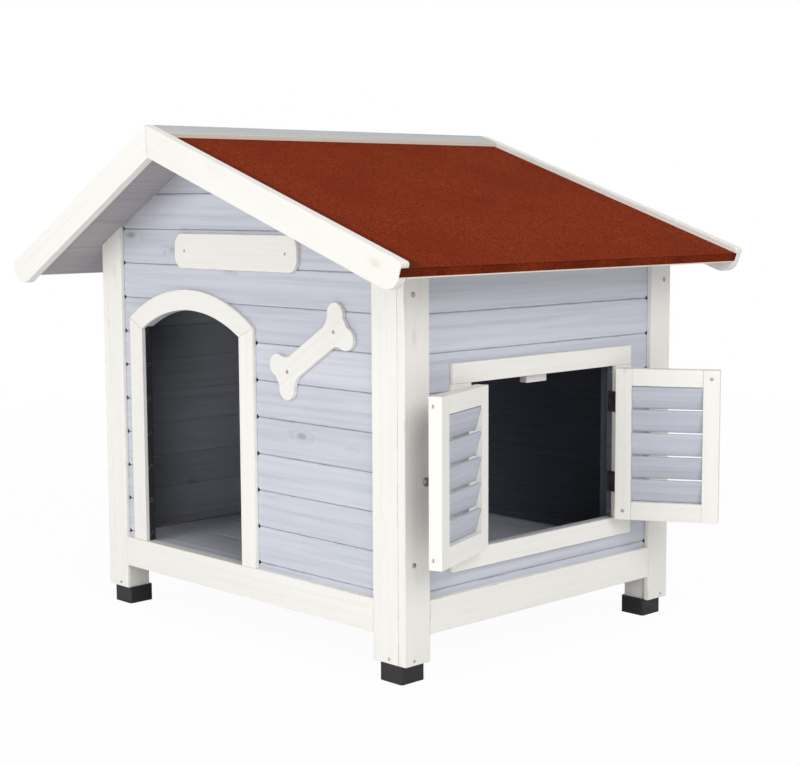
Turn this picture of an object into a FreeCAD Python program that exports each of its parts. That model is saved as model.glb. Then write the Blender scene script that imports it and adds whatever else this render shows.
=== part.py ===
import FreeCAD, Part
import math
import os
import Sketcher

# Timber dog house: a planked cabin on four capped posts under an uneven gable roof of felted boards,
# with an arched doorway in the front gable and a pair of louvred shutters on the right wall.
#
# Frame: +Z up, the front gable faces -Y and the window wall faces +X.
# Origin: on the ground, in the middle between the four feet. Millimetres.

sizes = {
    # cabin between the outer faces of its corner boards
    "body_width": 740.0,
    "body_depth": 607.0,
    "post_side": 38.0,
    "gable_cover_thick": 7.0,
    "wide_lap": 14.0,
    "narrow_lap": 2.0,
    "side_cover_thick": 15.0,
    "side_cover_lap": 5.0,
    # plastic caps on the post ends
    "foot_height": 28.0,
    "foot_wall": 3.8,
    "foot_floor": 4.0,
    "foot_fit": 0.2,
    "foot_round": 4.0,
    # bottom rails
    "rail_low": 68.0,
    "rail_tall": 50.0,
    # boarding
    "gable_plank_thick": 12.0,
    "side_plank_thick": 10.0,
    "side_plank_seat": 4.0,
    "plank_cover": 57.2,
    "first_strip": 10.0,
    "joint_chamfer": 1.8,
    "tongue_thick": 3.6,
    "tongue_tall": 5.0,
    "tongue_fit": 0.3,
    "batten_side": 18.0,
    # floor
    "floor_drop": 2.0,
    "floor_thick": 12.0,
    "floor_fit": 0.5,
    "floor_gap": 1.5,
    "floor_rows": 6,
    "joist_tall": 20.0,
    "joist_thick": 20.0,
    # roof, measured from the apex of the gable boards' top edges
    "ridge_shift": -80.0,
    "gable_above_door": 290.0,
    "right_pitch": 19.2,
    "left_pitch": 29.2,
    "right_run": 594.0,
    "left_run": 452.5,
    "front_overhang": 110.0,
    "rear_overhang": 41.5,
    "barge_wide": 46.0,
    "barge_thick": 15.0,
    "barge_round": 25.0,
    "barge_ease": 5.0,
    "cap_thick": 8.0,
    "cap_wide": 40.0,
    "felt_thick": 2.0,
    "felt_wrap": 10.5,
    "deck_thick": 13.5,
    "roof_batten": 20.0,
    # arched doorway
    "door_margin": 22.0,
    "door_wide": 258.0,
    "door_tall": 396.0,
    "arch_radius": 249.0,
    "arch_wide": 33.0,
    "stile_wide": 35.0,
    "door_frame_thick": 7.0,
    # bare plate and bone cut-out
    "plate_shift": -9.0,
    "plate_rise": 62.0,
    "plate_long": 303.0,
    "plate_tall": 56.0,
    "plate_round": 20.0,
    "sign_thick": 8.0,
    "plate_nail_reach": 125.0,
    "bone_shift": 2.0,
    "bone_rise": 347.6,
    "bone_turn": 32.0,
    "bone_reach": 78.0,
    "bone_spread": 21.0,
    "lobe_radius": 17.0,
    "shaft_half": 18.0,
    "shaft_blend": 25.0,
    "bone_notch": 12.0,
    "bone_screw_reach": 62.0,
    # window in the right wall
    "window_wide": 332.0,
    "window_rise": 62.0,
    "window_tall": 245.0,
    "window_frame_thick": 7.0,
    "side_board_wide": 40.0,
    "head_board_tall": 30.0,
    "head_board_inset": 1.0,
    "sill_board_tall": 30.0,
    "sill_board_horn": 1.0,
    "batten_setback": 8.0,
    "window_batten_wide": 30.0,
    "window_batten_thick": 20.0,
    "stop_wide": 46.0,
    "stop_tall": 14.0,
    "stop_thick": 14.0,
    "stop_gap": 1.0,
    # louvred shutters
    "shutter_thick": 20.0,
    "shutter_gap": 2.0,
    "shutter_stile": 25.5,
    "shutter_head": 27.0,
    "shutter_foot": 29.0,
    "slat_count": 5,
    "slat_play": 0.35,
    "slat_thick": 6.0,
    "slat_tilt": 15.0,
    "slat_inset": 0.7,
    "slat_ease": 1.2,
    "housing_deep": 4.0,
    "housing_fit": 0.2,
    "front_opening": 160.0,
    "rear_opening": 121.0,
    # butt hinges
    "pin_clear": 0.5,
    "pin_radius": 1.5,
    "pin_fit": 0.05,
    "barrel_radius": 3.0,
    "leaf_thick": 1.0,
    "leaf_gap": 0.2,
    "leaf_deep": 15.0,
    "hinge_tall": 33.0,
    "hinge_inset": 56.0,
    "knuckle_gap": 0.3,
    # knob on the front shutter
    "knob_long": 13.0,
    "knob_radius": 6.5,
    "knob_neck": 3.5,
    # screw and nail heads
    "screw_radius": 4.0,
    "screw_tall": 1.2,
    "small_screw_radius": 3.0,
    "small_screw_tall": 0.8,
    "nail_radius": 2.5,
    "nail_tall": 0.8,
    "cover_screw_inset": 17.5,
    "cover_screw_rise": 56.0,
    "cover_screw_drop": 65.0,
    "cover_nail_rise": 7.0,
}

os.makedirs("parts", exist_ok=True)
doc = FreeCAD.newDocument("DogHouse")
sheet = doc.addObject("Spreadsheet::Sheet", "Sizes")
for row, (name, number) in enumerate(sizes.items(), start=1):
    sheet.set("A%d" % row, name)
    sheet.set("B%d" % row, str(number))
    sheet.setAlias("B%d" % row, name)
doc.recompute()


class Size:
    """A length that knows its number and the sheet expression that gives it."""

    def __init__(self, number, text=None):
        self.number = float(number)
        self.text = text if text else repr(float(number))

    def join(self, other, sign, number):
        return Size(number, "(%s %s %s)" % (self.text, sign, other.text))

    def __add__(self, other):
        other = as_size(other)
        return self.join(other, "+", self.number + other.number)

    def __sub__(self, other):
        other = as_size(other)
        return self.join(other, "-", self.number - other.number)

    def __mul__(self, other):
        other = as_size(other)
        return self.join(other, "*", self.number * other.number)

    def __truediv__(self, other):
        other = as_size(other)
        return self.join(other, "/", self.number / other.number)

    def __neg__(self):
        return Size(-self.number, "(-1 * %s)" % self.text)

    def __radd__(self, other):
        return as_size(other) + self

    def __rsub__(self, other):
        return as_size(other) - self

    def __rmul__(self, other):
        return as_size(other) * self

    def __rtruediv__(self, other):
        return as_size(other) / self


def as_size(value):
    return value if isinstance(value, Size) else Size(value)


def cos(angle):
    return Size(math.cos(math.radians(angle.number)), "cos(%s)" % angle.text)


def sin(angle):
    return Size(math.sin(math.radians(angle.number)), "sin(%s)" % angle.text)


def tan(angle):
    return Size(math.tan(math.radians(angle.number)), "tan(%s)" % angle.text)


def root(value):
    return Size(math.sqrt(value.number), "sqrt(%s)" % value.text)


class Named:
    """The sheet's cells by name."""

    def __getattr__(self, name):
        return Size(sizes[name], "Sizes." + name)


s = Named()
pieces = []
RIGHT = 1
LEFT = -1
FRONT = -1
REAR = 1
ends = ((FRONT, "front"), (REAR, "rear"))
flanks = ((LEFT, "left"), (RIGHT, "right"))

# shared faces
half_width = s.body_width / 2
half_depth = s.body_depth / 2
post_outer_x = half_width - s.side_cover_thick
post_inner_x = post_outer_x - s.post_side
post_outer_y = half_depth - s.gable_cover_thick
post_inner_y = post_outer_y - s.post_side
rail_top = s.rail_low + s.rail_tall
gable_face = post_outer_y
gable_inner = gable_face - s.gable_plank_thick
side_inner = post_outer_x - s.side_plank_seat
side_face = side_inner + s.side_plank_thick
side_cover_inner = post_inner_y - s.side_cover_lap
cover_inner = {LEFT: post_inner_x - s.narrow_lap, RIGHT: post_inner_x - s.wide_lap}
floor_top = rail_top - s.floor_drop
arch_top = rail_top + s.door_tall
ridge_height = arch_top + s.gable_above_door
arch_centre = arch_top - s.arch_radius
door_middle = -cover_inner[LEFT] + s.door_margin + s.stile_wide + s.door_wide / 2
door_frame_right = door_middle + s.door_wide / 2 + s.stile_wide
plate_z = arch_top + s.arch_wide + s.plate_rise
bone_x = (door_frame_right + cover_inner[RIGHT]) / 2 + s.bone_shift
bone_z = rail_top + s.bone_rise
roof_depth = s.cap_thick + s.felt_thick + s.deck_thick
window_low = rail_top + s.window_rise
window_high = window_low + s.window_tall
window_half = s.window_wide / 2
window_face = side_face + s.window_frame_thick
pin_stand = s.barrel_radius + s.pin_clear
pin_x = window_face + pin_stand
hinge_edge = s.leaf_thick + s.leaf_gap
pin_y = window_half - hinge_edge
shutter_low = window_low + s.shutter_gap
shutter_high = window_high - s.shutter_gap
slat_low = shutter_low + s.shutter_foot
slat_high = shutter_high - s.shutter_head
slat_count = int(round(sizes["slat_count"]))
slat_step = (slat_high - slat_low) / slat_count


def bind(item, path, value):
    item.setExpression(path, value.text)


def place(item, x=None, y=None, z=None):
    for axis, value in (("x", x), ("y", y), ("z", z)):
        if value is not None:
            bind(item, "Placement.Base." + axis, as_size(value))


def span(side, near, far):
    """Range from near to far out on one side of the middle, lowest first."""
    return (near, far) if side > 0 else (-far, -near)


def slab(name, x, y, z):
    """A board between two faces on each axis."""
    board = doc.addObject("Part::Box", name)
    for path, (low, high) in (("Length", x), ("Width", y), ("Height", z)):
        bind(board, path, as_size(high) - low)
    place(board, x[0], y[0], z[0])
    return board


def boolean(kind, name, base, tool):
    result = doc.addObject("Part::" + kind, name)
    result.Base = base
    result.Tool = tool
    return result


def fused(name, members):
    result = doc.addObject("Part::MultiFuse", name)
    result.Shapes = members
    return result


def piece(label, item):
    item.Label = label
    pieces.append(item)
    return item


def group(label, members):
    """Alike pieces that stay separate solids."""
    bundle = doc.addObject("Part::Compound", label + "_group")
    bundle.Links = members
    return piece(label, bundle)


def draw(sketch, corners):
    """Closed outline. A corner is (x, y) or, where an arc leaves it, (x, y, centre, radius, turn)."""
    edges = []
    for index, corner in enumerate(corners):
        after = corners[(index + 1) % len(corners)]
        start = FreeCAD.Vector(corner[0].number, corner[1].number, 0)
        stop = FreeCAD.Vector(after[0].number, after[1].number, 0)
        if len(corner) == 2:
            geometry = sketch.addGeometry(Part.LineSegment(start, stop), False)
            edges.append((geometry, 1, 2))
            continue
        centre = FreeCAD.Vector(corner[2][0].number, corner[2][1].number, 0)
        circle = Part.Circle(centre, FreeCAD.Vector(0, 0, 1), corner[3].number)
        first, last = (start, stop) if corner[4] > 0 else (stop, start)
        low, high = [math.atan2(end.y - centre.y, end.x - centre.x) for end in (first, last)]
        if high < low:
            high += 2 * math.pi
        geometry = sketch.addGeometry(Part.ArcOfCircle(circle, low, high), False)
        edges.append((geometry, 1, 2) if corner[4] > 0 else (geometry, 2, 1))
    for index, (geometry, begin, end) in enumerate(edges):
        following, follow_begin, _ = edges[(index + 1) % len(edges)]
        sketch.addConstraint(Sketcher.Constraint("Coincident", geometry, end, following, follow_begin))
    for corner, (geometry, begin, end) in zip(corners, edges):
        for kind, value in (("DistanceX", corner[0]), ("DistanceY", corner[1])):
            place_id = sketch.addConstraint(Sketcher.Constraint(kind, geometry, begin, value.number))
            bind(sketch, "Constraints[%d]" % place_id, value)
        if len(corner) > 2:
            size_id = sketch.addConstraint(Sketcher.Constraint("Radius", geometry, corner[3].number))
            bind(sketch, "Constraints[%d]" % size_id, corner[3])


def plane_of(body, role):
    return [item for item in body.Origin.OriginFeatures if item.Role == role][0]


def add_sketch(body, name, role, height, corners):
    """Sketch on one of the body's own origin planes, raised along the plane's normal."""
    sketch = body.newObject("Sketcher::SketchObject", name)
    sketch.AttachmentSupport = [(plane_of(body, role), "")]
    sketch.MapMode = "FlatFace"
    bind(sketch, "AttachmentOffset.Base.z", as_size(height))
    draw(sketch, corners)
    return sketch


def padded(name, role, start, thick, corners):
    """A body padded from one outline: along -Y from XZ_Plane, +X from YZ_Plane, +Z from XY_Plane."""
    body = doc.addObject("PartDesign::Body", name)
    height = -as_size(start) if role == "XZ_Plane" else start
    pad = body.newObject("PartDesign::Pad", name + "_pad")
    pad.Profile = add_sketch(body, name + "_sketch", role, height, corners)
    bind(pad, "Length", as_size(thick))
    return body


def box_corners(x, y):
    return [(x[0], y[0]), (x[1], y[0]), (x[1], y[1]), (x[0], y[1])]


def head(name, x, y, z, direction, radius, tall):
    """Low round screw or nail head on a face, pointing along direction."""
    turns = {"-y": ((1, 0, 0), 90), "+y": ((1, 0, 0), -90), "+x": ((0, 1, 0), 90), "-x": ((0, 1, 0), -90)}
    axis, angle = turns[direction]
    disc = doc.addObject("Part::Prism", name)
    disc.Polygon = 16
    disc.Placement = FreeCAD.Placement(FreeCAD.Vector(), FreeCAD.Rotation(FreeCAD.Vector(*axis), angle))
    bind(disc, "Circumradius", radius)
    bind(disc, "Height", tall)
    place(disc, x, y, z)
    return disc


# roof lines, by how far below the gable boards' top edges they lie (drop) and along the slope (run)

def pitch_of(side):
    return s.right_pitch if side > 0 else s.left_pitch


def run_of(side):
    return s.right_run if side > 0 else s.left_run


def ridge_at(drop):
    drop = as_size(drop)
    lean = (1 / cos(s.left_pitch) - 1 / cos(s.right_pitch)) / (tan(s.left_pitch) + tan(s.right_pitch))
    fall = lean * tan(s.right_pitch) + 1 / cos(s.right_pitch)
    return s.ridge_shift + drop * lean, ridge_height - drop * fall


def slope_at(side, run, drop):
    pitch = pitch_of(side)
    x = s.ridge_shift + side * (run * cos(pitch) - as_size(drop) * sin(pitch))
    return x, ridge_height - run * sin(pitch) - as_size(drop) * cos(pitch)


def under_at(side, x, drop):
    pitch = pitch_of(side)
    return x, ridge_height - side * (x - s.ridge_shift) * tan(pitch) - drop / cos(pitch)


def roof_cutter(name, low, drop):
    """Everything inside the cabin's walls from a height up to a line under the roof."""
    reach = half_width + s.side_cover_thick
    corners = [(-reach, low), (reach, low), under_at(RIGHT, reach, drop), ridge_at(drop)]
    corners.append(under_at(LEFT, -reach, drop))
    return padded(name, "XZ_Plane", s.body_depth, 2 * s.body_depth, corners)


under_roof = roof_cutter("under_roof", as_size(0), roof_depth)
above_rail = roof_cutter("above_rail", rail_top, roof_depth)
under_battens = roof_cutter("under_battens", as_size(0), roof_depth + s.roof_batten)
tall = ridge_height


def build_posts():
    for across, flank in flanks:
        for along, end in ends:
            name = "post_%s_%s" % (end, flank)
            x = span(across, post_inner_x, post_outer_x)
            y = span(along, post_inner_y, post_outer_y)
            stock = slab(name + "_stock", x, y, (s.foot_floor, tall))
            piece(name, boolean("Common", name + "_cut", stock, under_roof))


def build_feet():
    wall = s.foot_wall + s.foot_fit
    for across, flank in flanks:
        for along, end in ends:
            name = "foot_%s_%s" % (end, flank)
            outer_x = span(across, post_inner_x - wall, post_outer_x + wall)
            outer_y = span(along, post_inner_y - wall, post_outer_y + wall)
            socket_x = span(across, post_inner_x - s.foot_fit, post_outer_x + s.foot_fit)
            socket_y = span(along, post_inner_y - s.foot_fit, post_outer_y + s.foot_fit)
            body = padded(name + "_cap", "XY_Plane", 0, s.foot_height, box_corners(outer_x, outer_y))
            doc.recompute()
            solid = body.Tip
            uprights = ["Edge%d" % (index + 1) for index, edge in enumerate(solid.Shape.Edges)
                        if abs(edge.tangentAt(edge.FirstParameter).z) > 0.9]
            easing = body.newObject("PartDesign::Fillet", name + "_easing")
            easing.Base = (solid, uprights)
            bind(easing, "Radius", s.foot_round)
            doc.recompute()
            full = easing.Shape.Volume
            socket = body.newObject("PartDesign::Pocket", name + "_socket")
            corners = box_corners(socket_x, socket_y)
            socket.Profile = add_sketch(body, name + "_mouth", "XY_Plane", s.foot_height, corners)
            bind(socket, "Length", s.foot_height - s.foot_floor)
            doc.recompute()
            if socket.Shape.Volume > 0.9 * full:
                raise RuntimeError(name + " has no socket")
            piece(name, body)


def build_cover_boards():
    for along, end in ends:
        boards = []
        for across, flank in flanks:
            name = "%s_cover_%s" % (end, flank)
            x = span(across, cover_inner[across], post_outer_x)
            y = span(along, post_outer_y, half_depth)
            stock = slab(name, x, y, (s.foot_height, tall))
            boards.append(boolean("Common", name + "_cut", stock, under_roof))
        group(end + "_cover_boards", boards)
    for across, flank in flanks:
        boards = []
        for along, end in ends:
            name = "%s_cover_%s" % (flank, end)
            x = span(across, post_outer_x, half_width)
            stock = slab(name, x, span(along, side_cover_inner, half_depth), (s.foot_height, tall))
            rebate_x = span(across, post_outer_x, side_face)
            rebate = slab(name + "_rebate", rebate_x, span(along, side_cover_inner, post_inner_y), (s.foot_height, tall))
            board = boolean("Cut", name + "_rebated", stock, rebate)
            boards.append(boolean("Common", name + "_cut", board, under_roof))
        group(flank + "_cover_boards", boards)


def build_rails():
    z = (s.rail_low, rail_top)
    for along, end in ends:
        name = end + "_rail"
        tongue = slab(name + "_tongue", (-post_inner_x, post_inner_x), span(along, gable_inner, gable_face), z)
        x = (-cover_inner[LEFT], cover_inner[RIGHT])
        front = slab(name + "_front", x, span(along, gable_face, half_depth), z)
        piece(name, fused(name + "_whole", [tongue, front]))
    for across, flank in flanks:
        name = flank + "_rail"
        tongue = slab(name + "_tongue", span(across, side_inner, side_face), (-post_inner_y, post_inner_y), z)
        y = (-side_cover_inner, side_cover_inner)
        front = slab(name + "_front", span(across, side_face, half_width), y, z)
        piece(name, fused(name + "_whole", [tongue, front]))


def plank_corners(side, face, thick):
    """Section of one board: tongue on top, groove below, both front arrises bevelled."""
    tongue_near = (thick - s.tongue_thick) / 2
    tongue_far = (thick + s.tongue_thick) / 2
    groove_near = tongue_near - s.tongue_fit
    groove_far = tongue_far + s.tongue_fit
    groove_top = s.tongue_tall + s.tongue_fit
    tongue_top = s.plank_cover + s.tongue_tall
    none = as_size(0)
    section = [
        (none, s.joint_chamfer), (none, s.plank_cover - s.joint_chamfer),
        (s.joint_chamfer, s.plank_cover), (tongue_near, s.plank_cover),
        (tongue_near, tongue_top), (tongue_far, tongue_top),
        (tongue_far, s.plank_cover), (thick, s.plank_cover),
        (thick, none), (groove_far, none),
        (groove_far, groove_top), (groove_near, groove_top),
        (groove_near, none), (s.joint_chamfer, none),
    ]
    return [(side * (face - depth), height) for depth, height in section]


def build_boarding(label, sketch, direction, long, top, opening):
    """Boards stacked from the rail up, each cut to the roof line and round the opening."""
    first = rail_top + s.first_strip - s.plank_cover
    rows = int(math.ceil((top.number - first.number) / s.plank_cover.number - 0.02))
    boards = []
    for row in range(rows):
        name = "%s_row%d" % (label, row)
        board = doc.addObject("Part::Extrusion", name)
        board.Base = sketch
        board.DirMode = "Custom"
        board.Dir = direction
        board.Solid = True
        bind(board, "LengthFwd", long)
        bind(board, "LengthRev", long)
        place(board, z=first + s.plank_cover * row)
        board = boolean("Common", name + "_cut", board, above_rail)
        if opening:
            board = boolean("Cut", name + "_opened", board, opening)
        boards.append(board)
    group(label, boards)


def build_planks():
    door = padded("door_opening", "XZ_Plane", 0, s.body_depth, door_outline())
    window = slab("window_opening", (post_inner_x, half_width), (-window_half, window_half),
                  (window_low, window_high))
    for along, end in ends:
        sketch = doc.addObject("Sketcher::SketchObject", end + "_plank_section")
        sketch.Placement = FreeCAD.Placement(FreeCAD.Vector(), FreeCAD.Rotation(90, 0, 90))
        draw(sketch, plank_corners(along, gable_face, s.gable_plank_thick))
        opening = door if along == FRONT else None
        top = ridge_at(roof_depth)[1]
        build_boarding(end + "_planks", sketch, FreeCAD.Vector(1, 0, 0), post_inner_x, top, opening)
    for across, flank in flanks:
        sketch = doc.addObject("Sketcher::SketchObject", flank + "_plank_section")
        sketch.Placement = FreeCAD.Placement(FreeCAD.Vector(), FreeCAD.Rotation(0, 0, 90))
        draw(sketch, plank_corners(across, side_face, s.side_plank_thick))
        opening = window if across == RIGHT else None
        top = under_at(across, across * side_inner, roof_depth)[1]
        build_boarding(flank + "_planks", sketch, FreeCAD.Vector(0, 1, 0), post_inner_y, top, opening)


def arch_point(radius, x):
    """Point of a door arch of that radius, x either side of its middle line."""
    return door_middle + x, arch_centre + root(radius * radius - x * x)


def arch_middle():
    return door_middle, arch_centre


def door_outline():
    half = s.door_wide / 2
    corners = [(door_middle - half, rail_top), (door_middle + half, rail_top)]
    corners.append(arch_point(s.arch_radius, half) + (arch_middle(), s.arch_radius, 1))
    corners.append(arch_point(s.arch_radius, -half))
    return corners


def build_doorway():
    inner = s.door_wide / 2
    outer = inner + s.stile_wide
    outer_radius = s.arch_radius + s.arch_wide
    stiles = []
    for across, flank in flanks:
        corners = [(door_middle + across * inner, rail_top), (door_middle + across * outer, rail_top)]
        corners.append(arch_point(outer_radius, across * outer))
        corners.append(arch_point(s.arch_radius, across * inner))
        name = "door_stile_" + flank
        stiles.append(padded(name, "XZ_Plane", -gable_face, s.door_frame_thick, corners))
    group("door_stiles", stiles)
    corners = [
        arch_point(outer_radius, outer) + (arch_middle(), outer_radius, 1),
        arch_point(outer_radius, -outer),
        arch_point(s.arch_radius, -inner) + (arch_middle(), s.arch_radius, -1),
        arch_point(s.arch_radius, inner),
    ]
    piece("door_arch", padded("door_arch_ring", "XZ_Plane", -gable_face, s.door_frame_thick, corners))


def rounded_corners(left, right, low, high, radius):
    """Rectangle with four equal round corners."""
    return [
        (left + radius, low), (right - radius, low, (right - radius, low + radius), radius, 1),
        (right, low + radius), (right, high - radius, (right - radius, high - radius), radius, 1),
        (right - radius, high), (left + radius, high, (left + radius, high - radius), radius, 1),
        (left, high - radius), (left, low + radius, (left + radius, low + radius), radius, 1),
    ]


def build_plate():
    left = s.plate_shift - s.plate_long / 2
    right = s.plate_shift + s.plate_long / 2
    low = plate_z - s.plate_tall / 2
    high = plate_z + s.plate_tall / 2
    corners = rounded_corners(left, right, low, high, s.plate_round)
    piece("name_plate", padded("plate_board", "XZ_Plane", -gable_face, s.sign_thick, corners))
    face = -(gable_face + s.sign_thick)
    nails = [head("plate_nail_" + flank, s.plate_shift + side * s.plate_nail_reach, face, plate_z,
                  "-y", s.nail_radius, s.nail_tall) for side, flank in flanks]
    group("plate_nails", nails)


def bone_corners():
    """Bone outline: four round lobes, each blended into a straight shaft by a hollow arc."""
    low = s.shaft_blend + s.shaft_half - s.bone_spread
    away = s.shaft_blend + s.lobe_radius
    back = root(away * away - low * low)
    blend_x = s.bone_reach - back
    blend_y = s.shaft_half + s.shaft_blend
    touch_x = s.bone_reach - back * s.lobe_radius / away
    touch_y = s.bone_spread + low * s.lobe_radius / away
    end_x = s.bone_reach + s.bone_notch
    end_y = s.bone_spread - root(s.lobe_radius * s.lobe_radius - s.bone_notch * s.bone_notch)
    upper = [
        (end_x, end_y, (s.bone_reach, s.bone_spread), s.lobe_radius, 1),
        (touch_x, touch_y, (blend_x, blend_y), s.shaft_blend, -1),
        (blend_x, s.shaft_half),
    ]
    left_upper = [
        (-blend_x, s.shaft_half, (-blend_x, blend_y), s.shaft_blend, -1),
        (-touch_x, touch_y, (-s.bone_reach, s.bone_spread), s.lobe_radius, 1),
        (-end_x, end_y),
    ]
    corners = upper + left_upper
    return corners + [mirrored_corner(corner) for corner in corners]


def mirrored_corner(corner):
    if len(corner) == 2:
        return -corner[0], -corner[1]
    centre = (-corner[2][0], -corner[2][1])
    return -corner[0], -corner[1], centre, corner[3], corner[4]


def build_bone():
    body = padded("bone_board", "XZ_Plane", -gable_face, s.sign_thick, bone_corners())
    body.Placement = FreeCAD.Placement(FreeCAD.Vector(), FreeCAD.Rotation(FreeCAD.Vector(0, -1, 0), 1))
    bind(body, "Placement.Rotation.Angle", s.bone_turn)
    place(body, x=bone_x, z=bone_z)
    piece("bone", body)
    face = -(gable_face + s.sign_thick)
    screws = []
    for side, flank in flanks:
        x = bone_x + side * s.bone_screw_reach * cos(s.bone_turn)
        z = bone_z + side * s.bone_screw_reach * sin(s.bone_turn)
        screws.append(head("bone_screw_" + flank, x, face, z, "-y", s.small_screw_radius, s.small_screw_tall))
    group("bone_screws", screws)


def build_window():
    x = (side_face, window_face)
    opening = (window_low, window_high)
    side_reach = window_half + s.side_board_wide
    head_half = side_reach - s.head_board_inset
    sill_half = side_reach + s.sill_board_horn
    head_z = (window_high, window_high + s.head_board_tall)
    sill_z = (window_low - s.sill_board_tall, window_low)
    piece("window_head_board", slab("window_head", x, (-head_half, head_half), head_z))
    piece("window_sill_board", slab("window_sill", x, (-sill_half, sill_half), sill_z))
    sides = [slab("window_side_" + end, x, span(along, window_half, side_reach), opening)
             for along, end in ends]
    group("window_side_boards", sides)
    inside = (side_inner - s.window_batten_thick, side_inner)
    near = window_half + s.batten_setback
    far = near + s.window_batten_wide
    low = window_low - s.batten_setback
    high = window_high + s.batten_setback
    battens = [slab("window_batten_" + end, inside, span(along, near, far), (low, high)) for along, end in ends]
    battens.append(slab("window_batten_head", inside, (-far, far), (high, high + s.window_batten_wide)))
    battens.append(slab("window_batten_sill", inside, (-far, far), (low - s.window_batten_wide, low)))
    group("window_battens", battens)
    stop_face = window_face - s.shutter_thick - s.stop_gap
    half = s.stop_wide / 2
    stop_z = (window_high - s.stop_tall, high)
    piece("shutter_stop", slab("stop_block", (stop_face - s.stop_thick, stop_face), (-half, half), stop_z))


def slat_corners(grow):
    """Section of a slat leaning in at its top, with eased corners, grown all round by grow."""
    half_thick = s.slat_thick / 2 + grow
    slat_wide = (slat_step - 2 * s.slat_play - s.slat_thick * sin(s.slat_tilt)) / cos(s.slat_tilt)
    half_wide = slat_wide / 2 + grow
    ease = s.slat_ease
    reach = (slat_wide * sin(s.slat_tilt) + s.slat_thick * cos(s.slat_tilt)) / 2
    middle = -(pin_stand + s.shutter_thick) + s.slat_inset + reach
    loop = [
        (-half_thick, half_wide - ease), (-half_thick, ease - half_wide),
        (ease - half_thick, -half_wide), (half_thick - ease, -half_wide),
        (half_thick, ease - half_wide), (half_thick, half_wide - ease),
        (half_thick - ease, half_wide), (ease - half_thick, half_wide),
    ]
    turn_cos = cos(s.slat_tilt)
    turn_sin = sin(s.slat_tilt)
    return [(middle + u * turn_cos - v * turn_sin, u * turn_sin + v * turn_cos) for u, v in loop]


def slat_row(name, sketch, y, z):
    row = doc.addObject("Part::Extrusion", name)
    row.Base = sketch
    row.DirMode = "Custom"
    row.Dir = FreeCAD.Vector(0, 1, 0)
    row.Solid = True
    bind(row, "LengthFwd", y[1] - y[0])
    place(row, y=y[0], z=z)
    return row


def section_sketch(name, corners):
    sketch = doc.addObject("Sketcher::SketchObject", name)
    sketch.Placement = FreeCAD.Placement(FreeCAD.Vector(), FreeCAD.Rotation(0, 0, 90))
    draw(sketch, corners)
    return sketch


def hang(item, along, opening):
    """Put a shutter's piece, drawn closed about its own hinge pin, on that pin at its rest opening."""
    place(item, pin_x, along * pin_y)
    bind(item, "Placement.Rotation.Angle", along * opening)
    return item


def build_shutter(along, name, opening):
    inner_x = -(pin_stand + s.shutter_thick)
    outer_x = -pin_stand
    x = (inner_x, outer_x)
    free_edge = pin_y - s.shutter_gap
    hinge_stile = span(-along, hinge_edge, hinge_edge + s.shutter_stile)
    free_stile = span(-along, free_edge - s.shutter_stile, free_edge)
    field = span(-along, hinge_edge + s.shutter_stile, free_edge - s.shutter_stile)
    heights = [slat_low + slat_step * (row + 0.5) for row in range(slat_count)]

    socket = section_sketch(name + "_housing_section", slat_corners(s.housing_fit))
    reach = (field[0] - s.housing_deep, field[1] + s.housing_deep)
    stiles = []
    for part, y in (("hinge_stile", hinge_stile), ("free_stile", free_stile)):
        stile = slab("%s_%s" % (name, part), x, y, (shutter_low, shutter_high))
        housings = [slat_row("%s_%s_housing%d" % (name, part, row), socket, reach, z)
                    for row, z in enumerate(heights)]
        tool = doc.addObject("Part::Compound", "%s_%s_housings" % (name, part))
        tool.Links = housings
        stiles.append(boolean("Cut", "%s_%s_housed" % (name, part), stile, tool))
    hang(group(name + "_stiles", stiles), along, opening)

    rails = [slab(name + "_head", x, field, (slat_high, shutter_high)),
             slab(name + "_foot", x, field, (shutter_low, slat_low))]
    hang(group(name + "_rails", rails), along, opening)

    section = section_sketch(name + "_slat_section", slat_corners(as_size(0)))
    end_gap = s.housing_deep - s.housing_fit
    length = (field[0] - end_gap, field[1] + end_gap)
    slats = [slat_row("%s_slat%d" % (name, row), section, length, z) for row, z in enumerate(heights)]
    hang(group(name + "_slats", slats), along, opening)
    return free_edge


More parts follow.
